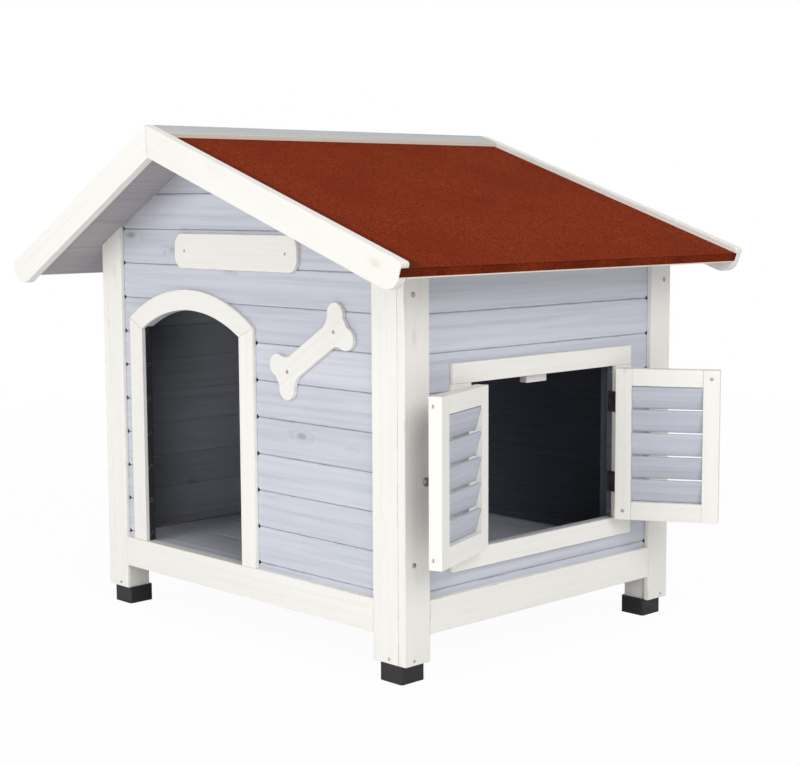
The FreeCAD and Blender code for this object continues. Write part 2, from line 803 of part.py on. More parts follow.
def build_hinges(along, name, opening):
    """Two butt hinges: the leaf with the outer knuckles and pin on the jamb, the other on the shutter."""
    jamb_leaves = []
    shutter_leaves = []
    places = (("low", shutter_low + s.hinge_inset), ("high", shutter_high - s.hinge_inset))
    clear = s.barrel_radius + s.knuckle_gap
    third = s.hinge_tall / 3
    for tag, middle in places:
        low = middle - s.hinge_tall / 2
        z = (low, low + s.hinge_tall)
        mid = (low + third + s.knuckle_gap, low + third * 2 - s.knuckle_gap)
        key = "%s_%s_" % (name, tag)
        y = span(along, s.leaf_gap, hinge_edge)
        plate = slab(key + "jamb_plate", (-(pin_stand + s.leaf_deep), -clear), y, z)
        members = [plate]
        for part, ring in (("foot", (low, low + third)), ("top", (low + third * 2, low + s.hinge_tall))):
            members.append(slab(key + "jamb_bridge_" + part, (-clear, as_size(0)), y, ring))
            members.append(cylinder(key + "jamb_knuckle_" + part, s.barrel_radius, ring))
        members.append(cylinder(key + "pin", s.pin_radius, z))
        leaf = fused(key + "jamb_leaf", members)
        place(leaf, pin_x, along * pin_y)
        jamb_leaves.append(leaf)

        y = span(-along, s.leaf_gap, hinge_edge)
        plate = slab(key + "shutter_plate", (-(pin_stand + s.leaf_deep), -clear), y, z)
        bridge = slab(key + "shutter_bridge", (-clear, -s.pin_radius), y, mid)
        knuckle = cylinder(key + "shutter_knuckle", s.barrel_radius, mid)
        solid = fused(key + "shutter_solid", [plate, bridge, knuckle])
        bore = cylinder(key + "shutter_bore", s.pin_radius + s.pin_fit, z)
        shutter_leaves.append(boolean("Cut", key + "shutter_leaf", solid, bore))
    hang(group(name + "_hinge_leaves", shutter_leaves), along, opening)
    return jamb_leaves


def cylinder(name, radius, z):
    item = doc.addObject("Part::Cylinder", name)
    bind(item, "Radius", radius)
    bind(item, "Height", z[1] - z[0])
    place(item, z=z[0])
    return item


def build_knob(free_edge):
    """Turned knob on the free stile of the front shutter, half way up."""
    body = doc.addObject("PartDesign::Body", "knob_turned")
    none = as_size(0)
    corners = [
        (none, none), (s.knob_long, none), (s.knob_long, s.knob_radius * 0.7),
        (s.knob_long - s.knob_radius * 0.3, s.knob_radius),
        (s.knob_long - s.knob_radius * 0.8, s.knob_radius),
        (s.knob_neck, s.knob_neck), (none, s.knob_neck * 1.3),
    ]
    sketch = add_sketch(body, "knob_section", "XZ_Plane", 0, corners)
    turning = body.newObject("PartDesign::Revolution", "knob_turning")
    turning.Profile = sketch
    turning.ReferenceAxis = (sketch, ["H_Axis"])
    turning.Angle = 360
    bind(sketch, "AttachmentOffset.Base.x", -pin_stand)
    bind(sketch, "AttachmentOffset.Base.y", (shutter_low + shutter_high) / 2)
    bind(sketch, "AttachmentOffset.Base.z", -(free_edge - s.shutter_stile / 2))
    piece("front_shutter_knob", hang(body, FRONT, s.front_opening))


def build_shutter_screws(along, name, opening, free_edge):
    inner_x = -(pin_stand + s.shutter_thick)
    middle_x = inner_x + s.shutter_thick / 2
    top = shutter_high - s.shutter_head / 2
    foot = shutter_low + s.shutter_foot / 2
    stile = s.shutter_stile / 2
    size = (s.small_screw_radius, s.small_screw_tall)
    if along == FRONT:
        edge = free_edge
        screws = [head(name + "_screw_top", middle_x, edge, top, "+y", *size),
                  head(name + "_screw_foot", middle_x, edge, foot, "+y", *size)]
    else:
        screws = [head(name + "_screw_top", inner_x, -(free_edge - stile), top, "-x", *size),
                  head(name + "_screw_foot", inner_x, -(hinge_edge + stile), foot, "-x", *size)]
    hang(group(name + "_screws", screws), along, opening)


def build_shutters():
    jamb_leaves = []
    for along, end in ends:
        name = end + "_shutter"
        opening = s.front_opening if along == FRONT else s.rear_opening
        free_edge = build_shutter(along, name, opening)
        jamb_leaves += build_hinges(along, name, opening)
        build_shutter_screws(along, name, opening, free_edge)
    group("jamb_hinge_leaves", jamb_leaves)
    build_knob(free_edge)


def barge_corners(side):
    """Gable board: mitred at the ridge, square at the eave with the lower corner well rounded."""
    run = run_of(side)
    large = s.barge_round
    small = s.barge_ease
    turn = -side
    return [
        ridge_at(0),
        slope_at(side, run - small, 0) + (slope_at(side, run - small, small), small, turn),
        slope_at(side, run, small),
        slope_at(side, run, s.barge_wide - large)
        + (slope_at(side, run - large, s.barge_wide - large), large, turn),
        slope_at(side, run - large, s.barge_wide),
        ridge_at(s.barge_wide),
    ]


def build_roof():
    front_face = -(half_depth + s.front_overhang)
    rear_face = half_depth + s.rear_overhang
    inside = (front_face + s.barge_thick, rear_face - s.barge_thick)
    depth = inside[1] - inside[0]
    felt_top = s.cap_thick
    deck_top = felt_top + s.felt_thick
    caps = []
    for side, flank in flanks:
        run = run_of(side)
        for end, start in (("front", inside[0]), ("rear", rear_face)):
            name = "%s_barge_%s" % (end, flank)
            piece(name, padded(name + "_board", "XZ_Plane", start, s.barge_thick, barge_corners(side)))
        corners = [ridge_at(deck_top), slope_at(side, run, deck_top), slope_at(side, run, roof_depth),
                   ridge_at(roof_depth)]
        piece("roof_deck_" + flank, padded("deck_%s_board" % flank, "XZ_Plane", inside[1], depth, corners))
        wrap = deck_top + s.felt_wrap
        edge = run + s.felt_thick
        corners = [ridge_at(felt_top), slope_at(side, edge, felt_top), slope_at(side, edge, wrap),
                   slope_at(side, run, wrap), slope_at(side, run, deck_top), ridge_at(deck_top)]
        piece("roof_felt_" + flank, padded("felt_%s_sheet" % flank, "XZ_Plane", inside[1], depth, corners))
        corners = [ridge_at(0), slope_at(side, s.cap_wide, 0), slope_at(side, s.cap_wide, felt_top),
                   ridge_at(felt_top)]
        caps.append(padded("cap_%s_board" % flank, "XZ_Plane", inside[1], depth, corners))
    group("ridge_boards", caps)


def build_battens():
    """Battens inside the gables: along the slopes under the deck, and upright beside each post."""
    slopes = []
    low = roof_depth + s.roof_batten
    for side, flank in flanks:
        end_x = side * post_inner_x
        corners = [ridge_at(roof_depth), under_at(side, end_x, roof_depth), under_at(side, end_x, low),
                   ridge_at(low)]
        for along, end in ends:
            start = span(along, gable_inner - s.roof_batten, gable_inner)[1]
            name = "slope_batten_%s_%s" % (end, flank)
            slopes.append(padded(name, "XZ_Plane", start, s.roof_batten, corners))
    group("roof_battens", slopes)
    uprights = []
    for across, flank in flanks:
        for along, end in ends:
            name = "upright_%s_%s" % (end, flank)
            x = span(across, post_inner_x - s.batten_side, post_inner_x)
            y = span(along, gable_inner - s.batten_side, gable_inner)
            stock = slab(name + "_gable", x, y, (floor_top, tall))
            uprights.append(boolean("Common", name + "_gable_cut", stock, under_battens))
            x = span(across, side_inner - s.batten_side, side_inner)
            y = span(along, post_inner_y - s.batten_side, post_inner_y)
            stock = slab(name + "_side", x, y, (floor_top, tall))
            uprights.append(boolean("Common", name + "_side_cut", stock, under_roof))
    group("wall_battens", uprights)


def build_floor():
    z = (floor_top - s.floor_thick, floor_top)
    half_x = side_inner - s.floor_fit
    rows = int(round(sizes["floor_rows"]))
    pitch = (2 * post_inner_y + s.floor_gap) / rows
    boards = []
    for row in range(rows):
        low = -post_inner_y + pitch * row
        boards.append(slab("floor_row%d" % row, (-half_x, half_x), (low, low + pitch - s.floor_gap), z))
    narrow_x = post_inner_x - s.floor_fit
    for along, end in ends:
        y = span(along, post_inner_y + s.floor_gap, gable_inner - s.floor_fit)
        boards.append(slab("floor_strip_" + end, (-narrow_x, narrow_x), y, z))
    group("floor_boards", boards)
    z = (z[0] - s.joist_tall, z[0])
    joists = []
    for along, end in ends:
        y = span(along, gable_inner - s.joist_thick, gable_inner)
        joists.append(slab("ledger_" + end, (-post_inner_x, post_inner_x), y, z))
    for across, flank in flanks:
        x = span(across, side_inner - s.joist_thick, side_inner)
        joists.append(slab("ledger_" + flank, x, (-post_inner_y, post_inner_y), z))
    reach = gable_inner - s.joist_thick
    joists.append(slab("joist_middle", (-(s.joist_thick / 2), s.joist_thick / 2), (-reach, reach), z))
    group("floor_joists", joists)


def build_cover_fixings():
    screws = []
    nails = []
    y = half_depth - s.cover_screw_inset
    nail_z = s.foot_height + s.cover_nail_rise
    nail = (s.nail_radius, s.nail_tall)
    for across, flank in flanks:
        side_way = "+x" if across > 0 else "-x"
        for along, end in ends:
            key = "%s_%s" % (end, flank)
            under_eave = under_at(across, across * half_width, roof_depth)[1]
            low_and_high = (("low", rail_top + s.cover_screw_rise), ("high", under_eave - s.cover_screw_drop))
            for level, z in low_and_high:
                name = "cover_screw_%s_%s" % (key, level)
                screws.append(head(name, across * half_width, along * y, z, side_way,
                                   s.screw_radius, s.screw_tall))
            name = "cover_nail_" + key
            nails.append(head(name + "_side", across * half_width, along * y, nail_z, side_way, *nail))
            front_way = "+y" if along > 0 else "-y"
            x = across * (post_outer_x - s.post_side / 2)
            nails.append(head(name + "_gable", x, along * half_depth, nail_z, front_way, *nail))
    group("cover_screws", screws)
    group("cover_nails", nails)


build_posts()
build_feet()
build_cover_boards()
build_rails()
build_planks()
build_doorway()
build_plate()
build_bone()
build_window()
build_shutters()
build_roof()
build_battens()
build_floor()
build_cover_fixings()
doc.recompute()

for item in doc.Objects:
    if "Invalid" in item.State or "Error" in item.State:
        raise RuntimeError("%s did not compute: %s" % (item.Label, item.State))
for item in pieces:
    if item.Shape.isNull() or not item.Shape.isValid() or not item.Shape.Solids:
        raise RuntimeError("%s has no sound solid" % item.Label)
for item in pieces:
    item.Shape.exportStep("parts/%s.step" % item.Label)
    print("%-24s solids %2d  volume %.0f" % (item.Label, len(item.Shape.Solids), item.Shape.Volume))
print(len(pieces), "pieces")
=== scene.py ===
import math
import random
import bmesh
import bpy
from mathutils import Matrix, Vector


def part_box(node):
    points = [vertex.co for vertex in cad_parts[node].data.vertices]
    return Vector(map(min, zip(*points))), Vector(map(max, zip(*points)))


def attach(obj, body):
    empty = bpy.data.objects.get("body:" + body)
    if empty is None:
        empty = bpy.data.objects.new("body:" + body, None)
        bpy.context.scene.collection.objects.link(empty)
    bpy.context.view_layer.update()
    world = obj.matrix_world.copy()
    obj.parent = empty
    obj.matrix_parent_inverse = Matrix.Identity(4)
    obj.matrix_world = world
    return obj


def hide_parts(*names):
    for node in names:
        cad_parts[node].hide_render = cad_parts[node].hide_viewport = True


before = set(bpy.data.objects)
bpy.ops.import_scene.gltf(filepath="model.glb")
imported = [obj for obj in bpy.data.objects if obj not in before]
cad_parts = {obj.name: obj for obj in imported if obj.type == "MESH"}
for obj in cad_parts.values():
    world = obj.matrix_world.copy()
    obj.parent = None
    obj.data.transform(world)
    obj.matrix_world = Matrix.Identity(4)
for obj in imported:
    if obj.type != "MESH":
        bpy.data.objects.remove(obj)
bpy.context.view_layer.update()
print("frame loaded:", len(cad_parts), "nodes")


# one output socket that can be added, multiplied and so on
class Wire:
    def __init__(self, finish, socket):
        self.finish = finish
        self.socket = socket

    def math(self, operation, first, second):
        return self.finish.node("ShaderNodeMath", {"operation": operation}, {0: first, 1: second})

    def __add__(self, other):
        return self.math("ADD", self, other)

    def __radd__(self, other):
        return self.math("ADD", other, self)

    def __sub__(self, other):
        return self.math("SUBTRACT", self, other)

    def __rsub__(self, other):
        return self.math("SUBTRACT", other, self)

    def __mul__(self, other):
        return self.math("MULTIPLY", self, other)

    def __rmul__(self, other):
        return self.math("MULTIPLY", other, self)


class Finish:
    def __init__(self, name):
        self.material = bpy.data.materials.new(name)
        self.material.use_nodes = True
        self.tree = self.material.node_tree
        self.surface = self.tree.nodes["Principled BSDF"]

    def node(self, kind, settings=None, values=None, out=0):
        made = self.tree.nodes.new(kind)
        for key, value in (settings or {}).items():
            if key == "stops":
                ramp = made.color_ramp
                while len(ramp.elements) < len(value):
                    ramp.elements.new(0.5)
                for element, (place, colour) in zip(ramp.elements, value):
                    element.position = place
                    element.color = colour
            else:
                setattr(made, key, value)
        for key, value in (values or {}).items():
            if isinstance(value, Wire):
                self.tree.links.new(value.socket, made.inputs[key])
            else:
                made.inputs[key].default_value = value
        return Wire(self, made.outputs[out])

    def blend(self, factor, first, second, mode="MIX"):
        return self.node("ShaderNodeMix", {"data_type": "RGBA", "blend_type": mode},
                         {0: factor, 6: first, 7: second}, 2)

    def stretch(self, place, scale):
        return self.node("ShaderNodeVectorMath", {"operation": "MULTIPLY"}, {0: place, 1: scale})

    def shifted(self, place, amount):
        return self.node("ShaderNodeVectorMath", {"operation": "ADD"}, {0: place, 1: amount})

    def noise(self, place, scale, detail=3.0, rough=0.5, warp=0.0):
        return self.node("ShaderNodeTexNoise", {"noise_dimensions": "3D"},
                         {"Vector": place, "Scale": scale, "Detail": detail, "Roughness": rough,
                          "Distortion": warp})

    def between(self, value, low, high, first=0.0, second=1.0):
        return self.node("ShaderNodeMapRange", {"interpolation_type": "SMOOTHSTEP"},
                         {"Value": value, "From Min": low, "From Max": high, "To Min": first,
                          "To Max": second})

    def named(self, name, out=2):
        return self.node("ShaderNodeAttribute", {"attribute_name": name}, None, out)

    def bump(self, height, distance, strength):
        return self.node("ShaderNodeBump", None, {"Height": height, "Distance": distance, "Strength": strength})

    def wear(self, **sockets):
        for key, value in sockets.items():
            socket = self.surface.inputs[key.replace("_", " ")]
            if isinstance(value, Wire):
                self.tree.links.new(value.socket, socket)
            else:
                socket.default_value = value
        return self.material


def rgb(red, green, blue):
    def linear(part):
        part = part / 255
        return part / 12.92 if part <= 0.04045 else ((part + 0.055) / 1.055) ** 2.4
    return (linear(red), linear(green), linear(blue), 1.0)


timberLooks = {
    "whiteGlaze": {"base": rgb(237, 235, 230), "streak": rgb(218, 211, 202), "knot": rgb(196, 174, 150),
                   "bare": rgb(214, 196, 170), "grain": 0.26, "knots": 0.22, "tone": 0.025, "rough": 0.5},
    "blueGlaze": {"base": rgb(203, 206, 215), "streak": rgb(160, 164, 177), "knot": rgb(126, 116, 116),
                  "bare": rgb(156, 150, 148), "grain": 0.5, "knots": 0.42, "tone": 0.07, "rough": 0.55},
    # the blue glaze made darker for the slats, painted shade for their tilt and shadow
    "shadedSlatGlaze": {"base": rgb(192, 195, 205), "streak": rgb(151, 155, 168), "knot": rgb(126, 116, 116),
                  "bare": rgb(156, 150, 148), "grain": 0.5, "knots": 0.42, "tone": 0.04, "rough": 0.55},
    # a darker copy of the blue glaze, painted shade for the timber inside the cabin
    "shadedInsideGlaze": {"base": rgb(88, 90, 100), "streak": rgb(70, 72, 82), "knot": rgb(84, 76, 74),
                    "bare": rgb(140, 128, 112), "grain": 0.55, "knots": 0.5, "tone": 0.05, "rough": 0.6},
    # grey glaze for the ridge boards, made darker as painted shade on their upward faces
    "ridgeGreyAndShade": {"base": rgb(200, 202, 203), "streak": rgb(172, 176, 180), "knot": rgb(150, 140, 130),
                   "bare": rgb(176, 170, 160), "grain": 0.6, "knots": 0.4, "tone": 0.04, "rough": 0.7,
                   "sheen": 0.02},
    "bareBoards": {"base": rgb(172, 168, 172), "streak": rgb(140, 136, 140), "knot": rgb(112, 98, 92),
                   "bare": rgb(200, 188, 170), "grain": 0.6, "knots": 0.6, "tone": 0.06, "rough": 0.65},
}
# painted shade on the cabin's inner faces, darkest close behind the front wall
cabinPaintedShade = {"insideShadeTint": rgb(86, 88, 97), "deepestShade": rgb(16, 15, 17), "from": -0.25, "to": -0.06, "most": 0.85}
plainSheen = 0.18


def timberFinish(name, look):
    f = Finish(name)
    seed = f.named("boardSeed")
    shift = f.node("ShaderNodeCombineXYZ", None, {0: seed * 7.3, 1: seed * 3.1, 2: seed * 1.7})
    place = f.shifted(f.named("grainPlace", 1), shift)

    cells = {"feature": "F1", "voronoi_dimensions": "3D"}
    knotSpace = f.stretch(place, (8.5, 19.0, 19.0))
    knotFar = f.node("ShaderNodeTexVoronoi", cells, {"Vector": knotSpace, "Scale": 1.0}, 0)
    knotDie = f.node("ShaderNodeTexVoronoi", cells, {"Vector": knotSpace, "Scale": 1.0}, 1)
    chosen = f.between(f.node("ShaderNodeSeparateColor", None, {0: knotDie}), 0.62, 0.7)
    knot = f.between(knotFar, 0.055, 0.13, 1.0, 0.0) * chosen
    swirl = f.between(knotFar, 0.04, 0.34, 1.0, 0.0) * chosen

    # grain lines run along the board and swell round the knots
    across = f.stretch(place, (2.2, 95.0, 95.0))
    bent = f.shifted(across, f.node("ShaderNodeCombineXYZ", None, {0: 0.0, 1: swirl * 1.5, 2: swirl * 1.5}))
    fine = f.noise(bent, 1.35, 4.0, 0.6)
    broad = f.noise(f.stretch(place, (1.1, 24.0, 24.0)), 1.0, 3.0, 0.55, 0.2)
    ring = f.node("ShaderNodeTexWave", {"wave_type": "BANDS", "bands_direction": "Y", "wave_profile": "SIN"},
                  {"Vector": f.stretch(place, (0.2, 1.0, 0.6)), "Scale": 18.0, "Distortion": 4.0,
                   "Detail": 2.0, "Detail Scale": 1.2}, 1)
    lines = (f.between(fine, 0.42, 0.7) * 0.55 + f.between(ring, 0.55, 1.0) * 0.15
             + f.between(broad, 0.4, 0.72) * 0.24)

    tone = f.node("ShaderNodeTexWhiteNoise", {"noise_dimensions": "1D"}, {"W": seed * 91.7}, 0)
    cloud = f.noise(place, 4.0, 2.0)
    level = 1.0 - look["tone"] + tone * (2 * look["tone"]) + (cloud - 0.5) * 0.05
    shade = f.node("ShaderNodeCombineColor", None, {0: level, 1: level, 2: level})
    colour = f.blend(lines * look["grain"], look["base"], look["streak"])
    colour = f.blend(1.0, colour, shade, "MULTIPLY")
    colour = f.blend(knot * look["knots"] + swirl * (0.2 * look["knots"]), colour, look["knot"])
    endRings = f.noise(f.stretch(place, (20.0, 240.0, 240.0)), 1.0, 2.0)
    endGrain = f.named("endGrain") * (0.3 + endRings * 0.35)
    colour = f.blend(endGrain, colour, look["streak"])
    # inner faces get painted shade: a darker tint, and near black close behind the front wall
    colour = f.blend(f.named("inside"), colour, f.blend(1.0, colour, cabinPaintedShade["insideShadeTint"], "MULTIPLY"))
    depth = f.node("ShaderNodeSeparateXYZ", None, {0: f.node("ShaderNodeTexCoord", None, None, 3)}, 1)
    paintedDepthShade = (f.between(f.named("inside"), 0.0, 0.3)
             * f.between(depth, cabinPaintedShade["from"], cabinPaintedShade["to"], cabinPaintedShade["most"], 0.0))
    colour = f.blend(paintedDepthShade, colour, cabinPaintedShade["deepestShade"])
    rubbed = f.named("arris") * f.between(f.noise(place, 26.0, 3.0), 0.52, 0.68) * 0.5
    colour = f.blend(rubbed, colour, look["bare"])

    rough = look["rough"] + lines * 0.12 - knot * 0.08
    brushed = f.noise(f.stretch(place, (26.0, 420.0, 420.0)), 1.0, 2.0)
    relief = f.bump(1.0 - lines + brushed * 0.25 + knot * 0.4, 0.00055, 0.55)
    # paler colour on chosen edge faces: painted light on the ridge's lower edge, and on the deck's eave edge
    # partly its cream colour, partly painted light
    colour = f.blend(f.named("pale"), colour, rgb(238, 231, 218))
    f.surface.inputs["Specular IOR Level"].default_value = look.get("sheen", plainSheen)
    return f.wear(Base_Color=colour, Roughness=rough, Normal=relief)


# felt colours; the hem colour is painted shadow along the gable boards, and the worn colour also paints shade on
# the turned-down faces
feltLook = {"gritScale": 620.0, "redder": rgb(112, 32, 14), "speck": rgb(98, 30, 16), "wornAndShade": rgb(54, 20, 11),
            "hemShadow": rgb(52, 22, 14), "frontHemShadow": (-0.376, -0.361), "rearHemShadow": (0.3215, 0.33)}


def feltFinish():
    f = Finish("brickFelt")
    place = f.node("ShaderNodeTexCoord", None, None, 3)
    cells = {"Vector": place, "Scale": feltLook["gritScale"]}
    grit = f.node("ShaderNodeTexVoronoi", {"feature": "F1"}, cells, 1)
    gritFar = f.node("ShaderNodeTexVoronoi", {"feature": "F1"}, cells, 0)
    pick = f.node("ShaderNodeSeparateColor", None, {0: grit})
    grains = f.node("ShaderNodeValToRGB", {"stops": [
        (0.0, rgb(96, 31, 12)), (0.35, rgb(120, 42, 17)),
        (0.7, rgb(135, 51, 22)), (1.0, rgb(156, 69, 34))]}, {0: pick})
    patch = f.noise(place, 5.0, 4.0, 0.55)
    speck = f.noise(place, 60.0, 3.0, 0.6)
    colour = f.blend(f.between(patch, 0.42, 0.62) * 0.35, grains, feltLook["redder"])
    colour = f.blend(f.between(speck, 0.58, 0.72) * 0.35, colour, feltLook["speck"])
    # the turned-down faces get painted shade, broken up by noise; the eased edges are worn darker
    turned = f.named("fold") * (0.2 + f.between(f.noise(place, 16.0), 0.42, 0.62) * 0.35)
    colour = f.blend(f.named("arris") * 0.4 + turned, colour, feltLook["wornAndShade"])
    # painted shadow: a darker band on the felt beside the front and rear gable boards
    depth = f.node("ShaderNodeSeparateXYZ", None, {0: place}, 1)
    hemShadow = f.between(depth, *feltLook["frontHemShadow"], 1.0, 0.0) + f.between(depth, *feltLook["rearHemShadow"])
    colour = f.blend(hemShadow * (0.22 + speck * 0.4), colour, feltLook["hemShadow"])
    relief = f.bump(1.0 - gritFar + speck * 0.8, 0.0009, 0.7)
    f.surface.inputs["Specular IOR Level"].default_value = 0.03
    return f.wear(Base_Color=colour, Roughness=0.82 + pick * 0.12, Normal=relief)


def plasticFinish():
    f = Finish("blackPlastic")
    place = f.node("ShaderNodeTexCoord", None, None, 3)
    grainy = f.noise(place, 900.0, 2.0)
    scuff = f.noise(f.stretch(place, (40.0, 40.0, 160.0)), 1.0, 4.0, 0.6)
    dusty = f.between(scuff, 0.55, 0.75) * 0.25
    colour = f.blend(dusty, rgb(21, 21, 22), rgb(66, 66, 64))
    return f.wear(Base_Color=colour, Roughness=0.44 + scuff * 0.2, Normal=f.bump(grainy, 0.0002, 0.4))


def steelFinish(name, tint, dark, rough):
    f = Finish(name)
    place = f.node("ShaderNodeTexCoord", None, None, 3)
    flow = f.noise(place, 220.0, 3.0, 0.6)
    blot = f.noise(place, 70.0, 3.0)
    colour = f.blend(f.between(blot, 0.45, 0.7) * 0.6, tint, dark)
    f.surface.inputs["Metallic"].default_value = 0.7
    return f.wear(Base_Color=colour, Roughness=rough + flow * 0.2, Normal=f.bump(flow, 0.00008, 0.5))


finishes = {name: timberFinish(name, look) for name, look in timberLooks.items()}
finishes["felt"] = feltFinish()
finishes["plastic"] = plasticFinish()
finishes["zinc"] = steelFinish("zincScrews", rgb(184, 180, 174), rgb(122, 114, 104), 0.38)
# hinge steel near black, partly its own dark finish, partly painted shade to sit in the dark cabin
finishes["hinge"] = steelFinish("hingeSteel", rgb(74, 70, 66), rgb(40, 37, 35), 0.42)
finishes["knob"] = steelFinish("knobSteel", rgb(104, 100, 95), rgb(64, 60, 56), 0.36)
print("finishes ready:", len(finishes))


# the closed solids of a CAD node, each as its own corner and face lists
def solidsOf(nodeName):
    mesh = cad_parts[nodeName].data
    solids, corners, faces, ids, openEdges = [], [], [], {}, set()
    for polygon in mesh.polygons:
        loop = []
        for index in polygon.vertices:
            spot = mesh.vertices[index].co
            key = tuple(round(value, 6) for value in spot)
            if key not in ids:
                ids[key] = len(corners)
                corners.append(spot.copy())
            loop.append(ids[key])
        if len(set(loop)) < 3:
            continue
        faces.append(loop)
        for start, end in zip(loop, loop[1:] + loop[:1]):
            if (end, start) in openEdges:
                openEdges.remove((end, start))
            else:
                openEdges.add((start, end))
        if not openEdges:
            solids.append((corners, faces))
            corners, faces, ids = [], [], {}
    if faces:
        solids.append((corners, faces))
    return solids


def islandsOf(bm):
    met, found = set(), []
    for first in bm.verts:  # in the order of the mesh, so that every run gives the same boards
        if first in met:
            continue
        met.add(first)
        stack, island = [first], []
        while stack:
            corner = stack.pop()
            island.append(corner)
            for edge in corner.link_edges:
                other = edge.other_vert(corner)
                if other not in met:
                    met.add(other)
                    stack.append(other)
        found.append(island)
    return found


# gives each loose board its own grain direction, place along it and seed
def markTimber(bm, grain, dice):
    vectors, numbers, faceNumbers = bm.verts.layers.float_vector, bm.verts.layers.float, bm.faces.layers.float
    placeLayer = vectors.get("grainPlace") or vectors.new("grainPlace")
    seedLayer = numbers.get("boardSeed") or numbers.new("boardSeed")
    endLayer = faceNumbers.get("endGrain") or faceNumbers.new("endGrain")
    for island in islandsOf(bm):
        faces = list(dict.fromkeys(face for corner in island for face in corner.link_faces))
        if grain:
            along = Vector(grain).normalized()
        else:
            edges = dict.fromkeys(edge for corner in island for edge in corner.link_edges)
            longest = max(edges, key=lambda edge: round(edge.calc_length(), 6))
            along = (longest.verts[1].co - longest.verts[0].co).normalized()
            if sum(along) < 0:
                along = -along
        wide = [face for face in faces if abs(face.normal.dot(along)) < 0.3]
        up = max(wide or faces, key=lambda face: round(face.calc_area(), 8)).normal.copy()
        up = (up - along * up.dot(along)).normalized() if up.length else Vector((0, 0, 1))
        side = up.cross(along)
        centre = sum((corner.co for corner in island), Vector()) / len(island)
        seed = dice.random()
        for corner in island:
            off = corner.co - centre
            corner[placeLayer] = (off.dot(along), off.dot(side), off.dot(up) * 1.3)
            corner[seedLayer] = seed
        for face in faces:
            face[endLayer] = 1.0 if abs(face.normal.dot(along)) > 0.75 else 0.0


def softenEdges(bm, width, segments, sharpAngle=28.0):
    arris = bm.faces.layers.float.get("arris") or bm.faces.layers.float.new("arris")
    edges = [edge for edge in bm.edges
             if edge.is_manifold and edge.calc_face_angle(0.0) > math.radians(sharpAngle)]
    cut = bmesh.ops.bevel(bm, geom=edges, offset=width, offset_type="OFFSET", segments=segments,
                          profile=0.55, affect="EDGES", clamp_overlap=True)
    for face in cut["faces"]:
        face[arris] = 1.0


# faces wider than this stay flat, so only the eased edges are shaded round
wideFace = 0.0015
# degrees under which the facets of one flat face are joined again
flatAngle = 0.6


def objectFrom(name, bm, material, sharpAngle=22.0):
    mesh = bpy.data.meshes.new(name)
    for face in bm.faces:
        face.smooth = face.calc_area() < wideFace
    for edge in bm.edges:
        edge.smooth = not (edge.is_manifold and edge.calc_face_angle(0.0) > math.radians(sharpAngle))
    bm.to_mesh(mesh)
    bm.free()
    mesh.materials.append(material)
    item = bpy.data.objects.new(name, mesh)
    bpy.context.scene.collection.objects.link(item)
    return item


# puts a finished piece on its body and in place of its nodes
def seat(item, body, slot, *nodes):
    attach(item, body)
    if nodes:
        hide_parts(*nodes)
    return item


# how much of the cabin's painted shade the rails' inner faces take
inwardShade = 0.85


# copies timber solids, eases their edges and gives every board its own grain
def dressedTimber(name, nodeNames, finish, body, slot, width, grain=None, swell=0.0, inward=None, paleEdge=None):
    dice = random.Random(name)
    whole = bmesh.new()
    for nodeName in nodeNames:
        for corners, faces in solidsOf(nodeName):
            bm = bmesh.new()
            points = [bm.verts.new(corner) for corner in corners]
            for loop in faces:
                try:
                    bm.faces.new([points[index] for index in loop])
                except ValueError:
                    pass
            bm.normal_update()
            bmesh.ops.dissolve_limit(bm, angle_limit=math.radians(flatAngle), verts=bm.verts, edges=bm.edges)
            bm.normal_update()
            softenEdges(bm, width, 2)
            bm.normal_update()
            markTimber(bm, grain, dice)
            # faces turned into the cabin get painted shade
            if inward:
                layer = bm.faces.layers.float.new("inside")
                for face in bm.faces:
                    face[layer] = inwardShade if face.normal.dot(Vector(inward)) > 0.9 else 0.0
            # faces along paleEdge get the paler colour, which is painted light in part
            if paleEdge:
                layer = bm.faces.layers.float.new("pale")
                for face in bm.faces:
                    face[layer] = 1.0 if face.normal.dot(Vector(paleEdge)) > 0.6 else 0.0
            if swell:  # wood that has moved until its boards nearly meet
                ends = [min(corner.co.y for corner in bm.verts), max(corner.co.y for corner in bm.verts)]
                for corner in bm.verts:
                    corner.co.y += swell * (2 * (corner.co.y - ends[0]) / (ends[1] - ends[0]) - 1)
            part = bpy.data.meshes.new("part")
            bm.to_mesh(part)
            bm.free()
            whole.from_mesh(part)
            bpy.data.meshes.remove(part)
    return seat(objectFrom(name, whole, finishes[finish]), body, slot, *nodeNames)


def newTree(name, inputs):
    tree = bpy.data.node_groups.new(name, "GeometryNodeTree")
    tree.interface.new_socket("Geometry", in_out="INPUT", socket_type="NodeSocketGeometry")
    for label, kind in inputs:
        tree.interface.new_socket(label, in_out="INPUT", socket_type=kind)
    tree.interface.new_socket("Geometry", in_out="OUTPUT", socket_type="NodeSocketGeometry")
    return tree, tree.nodes.new("NodeGroupInput"), tree.nodes.new("NodeGroupOutput")


def treeNode(tree, kind, settings=None, links=None, values=None):
    made = tree.nodes.new(kind)
    for key, value in (settings or {}).items():
        setattr(made, key, value)
    for key, source in (links or {}).items():
        tree.links.new(source, made.inputs[key])
    for key, value in (values or {}).items():
        made.inputs[key].default_value = value
    return made


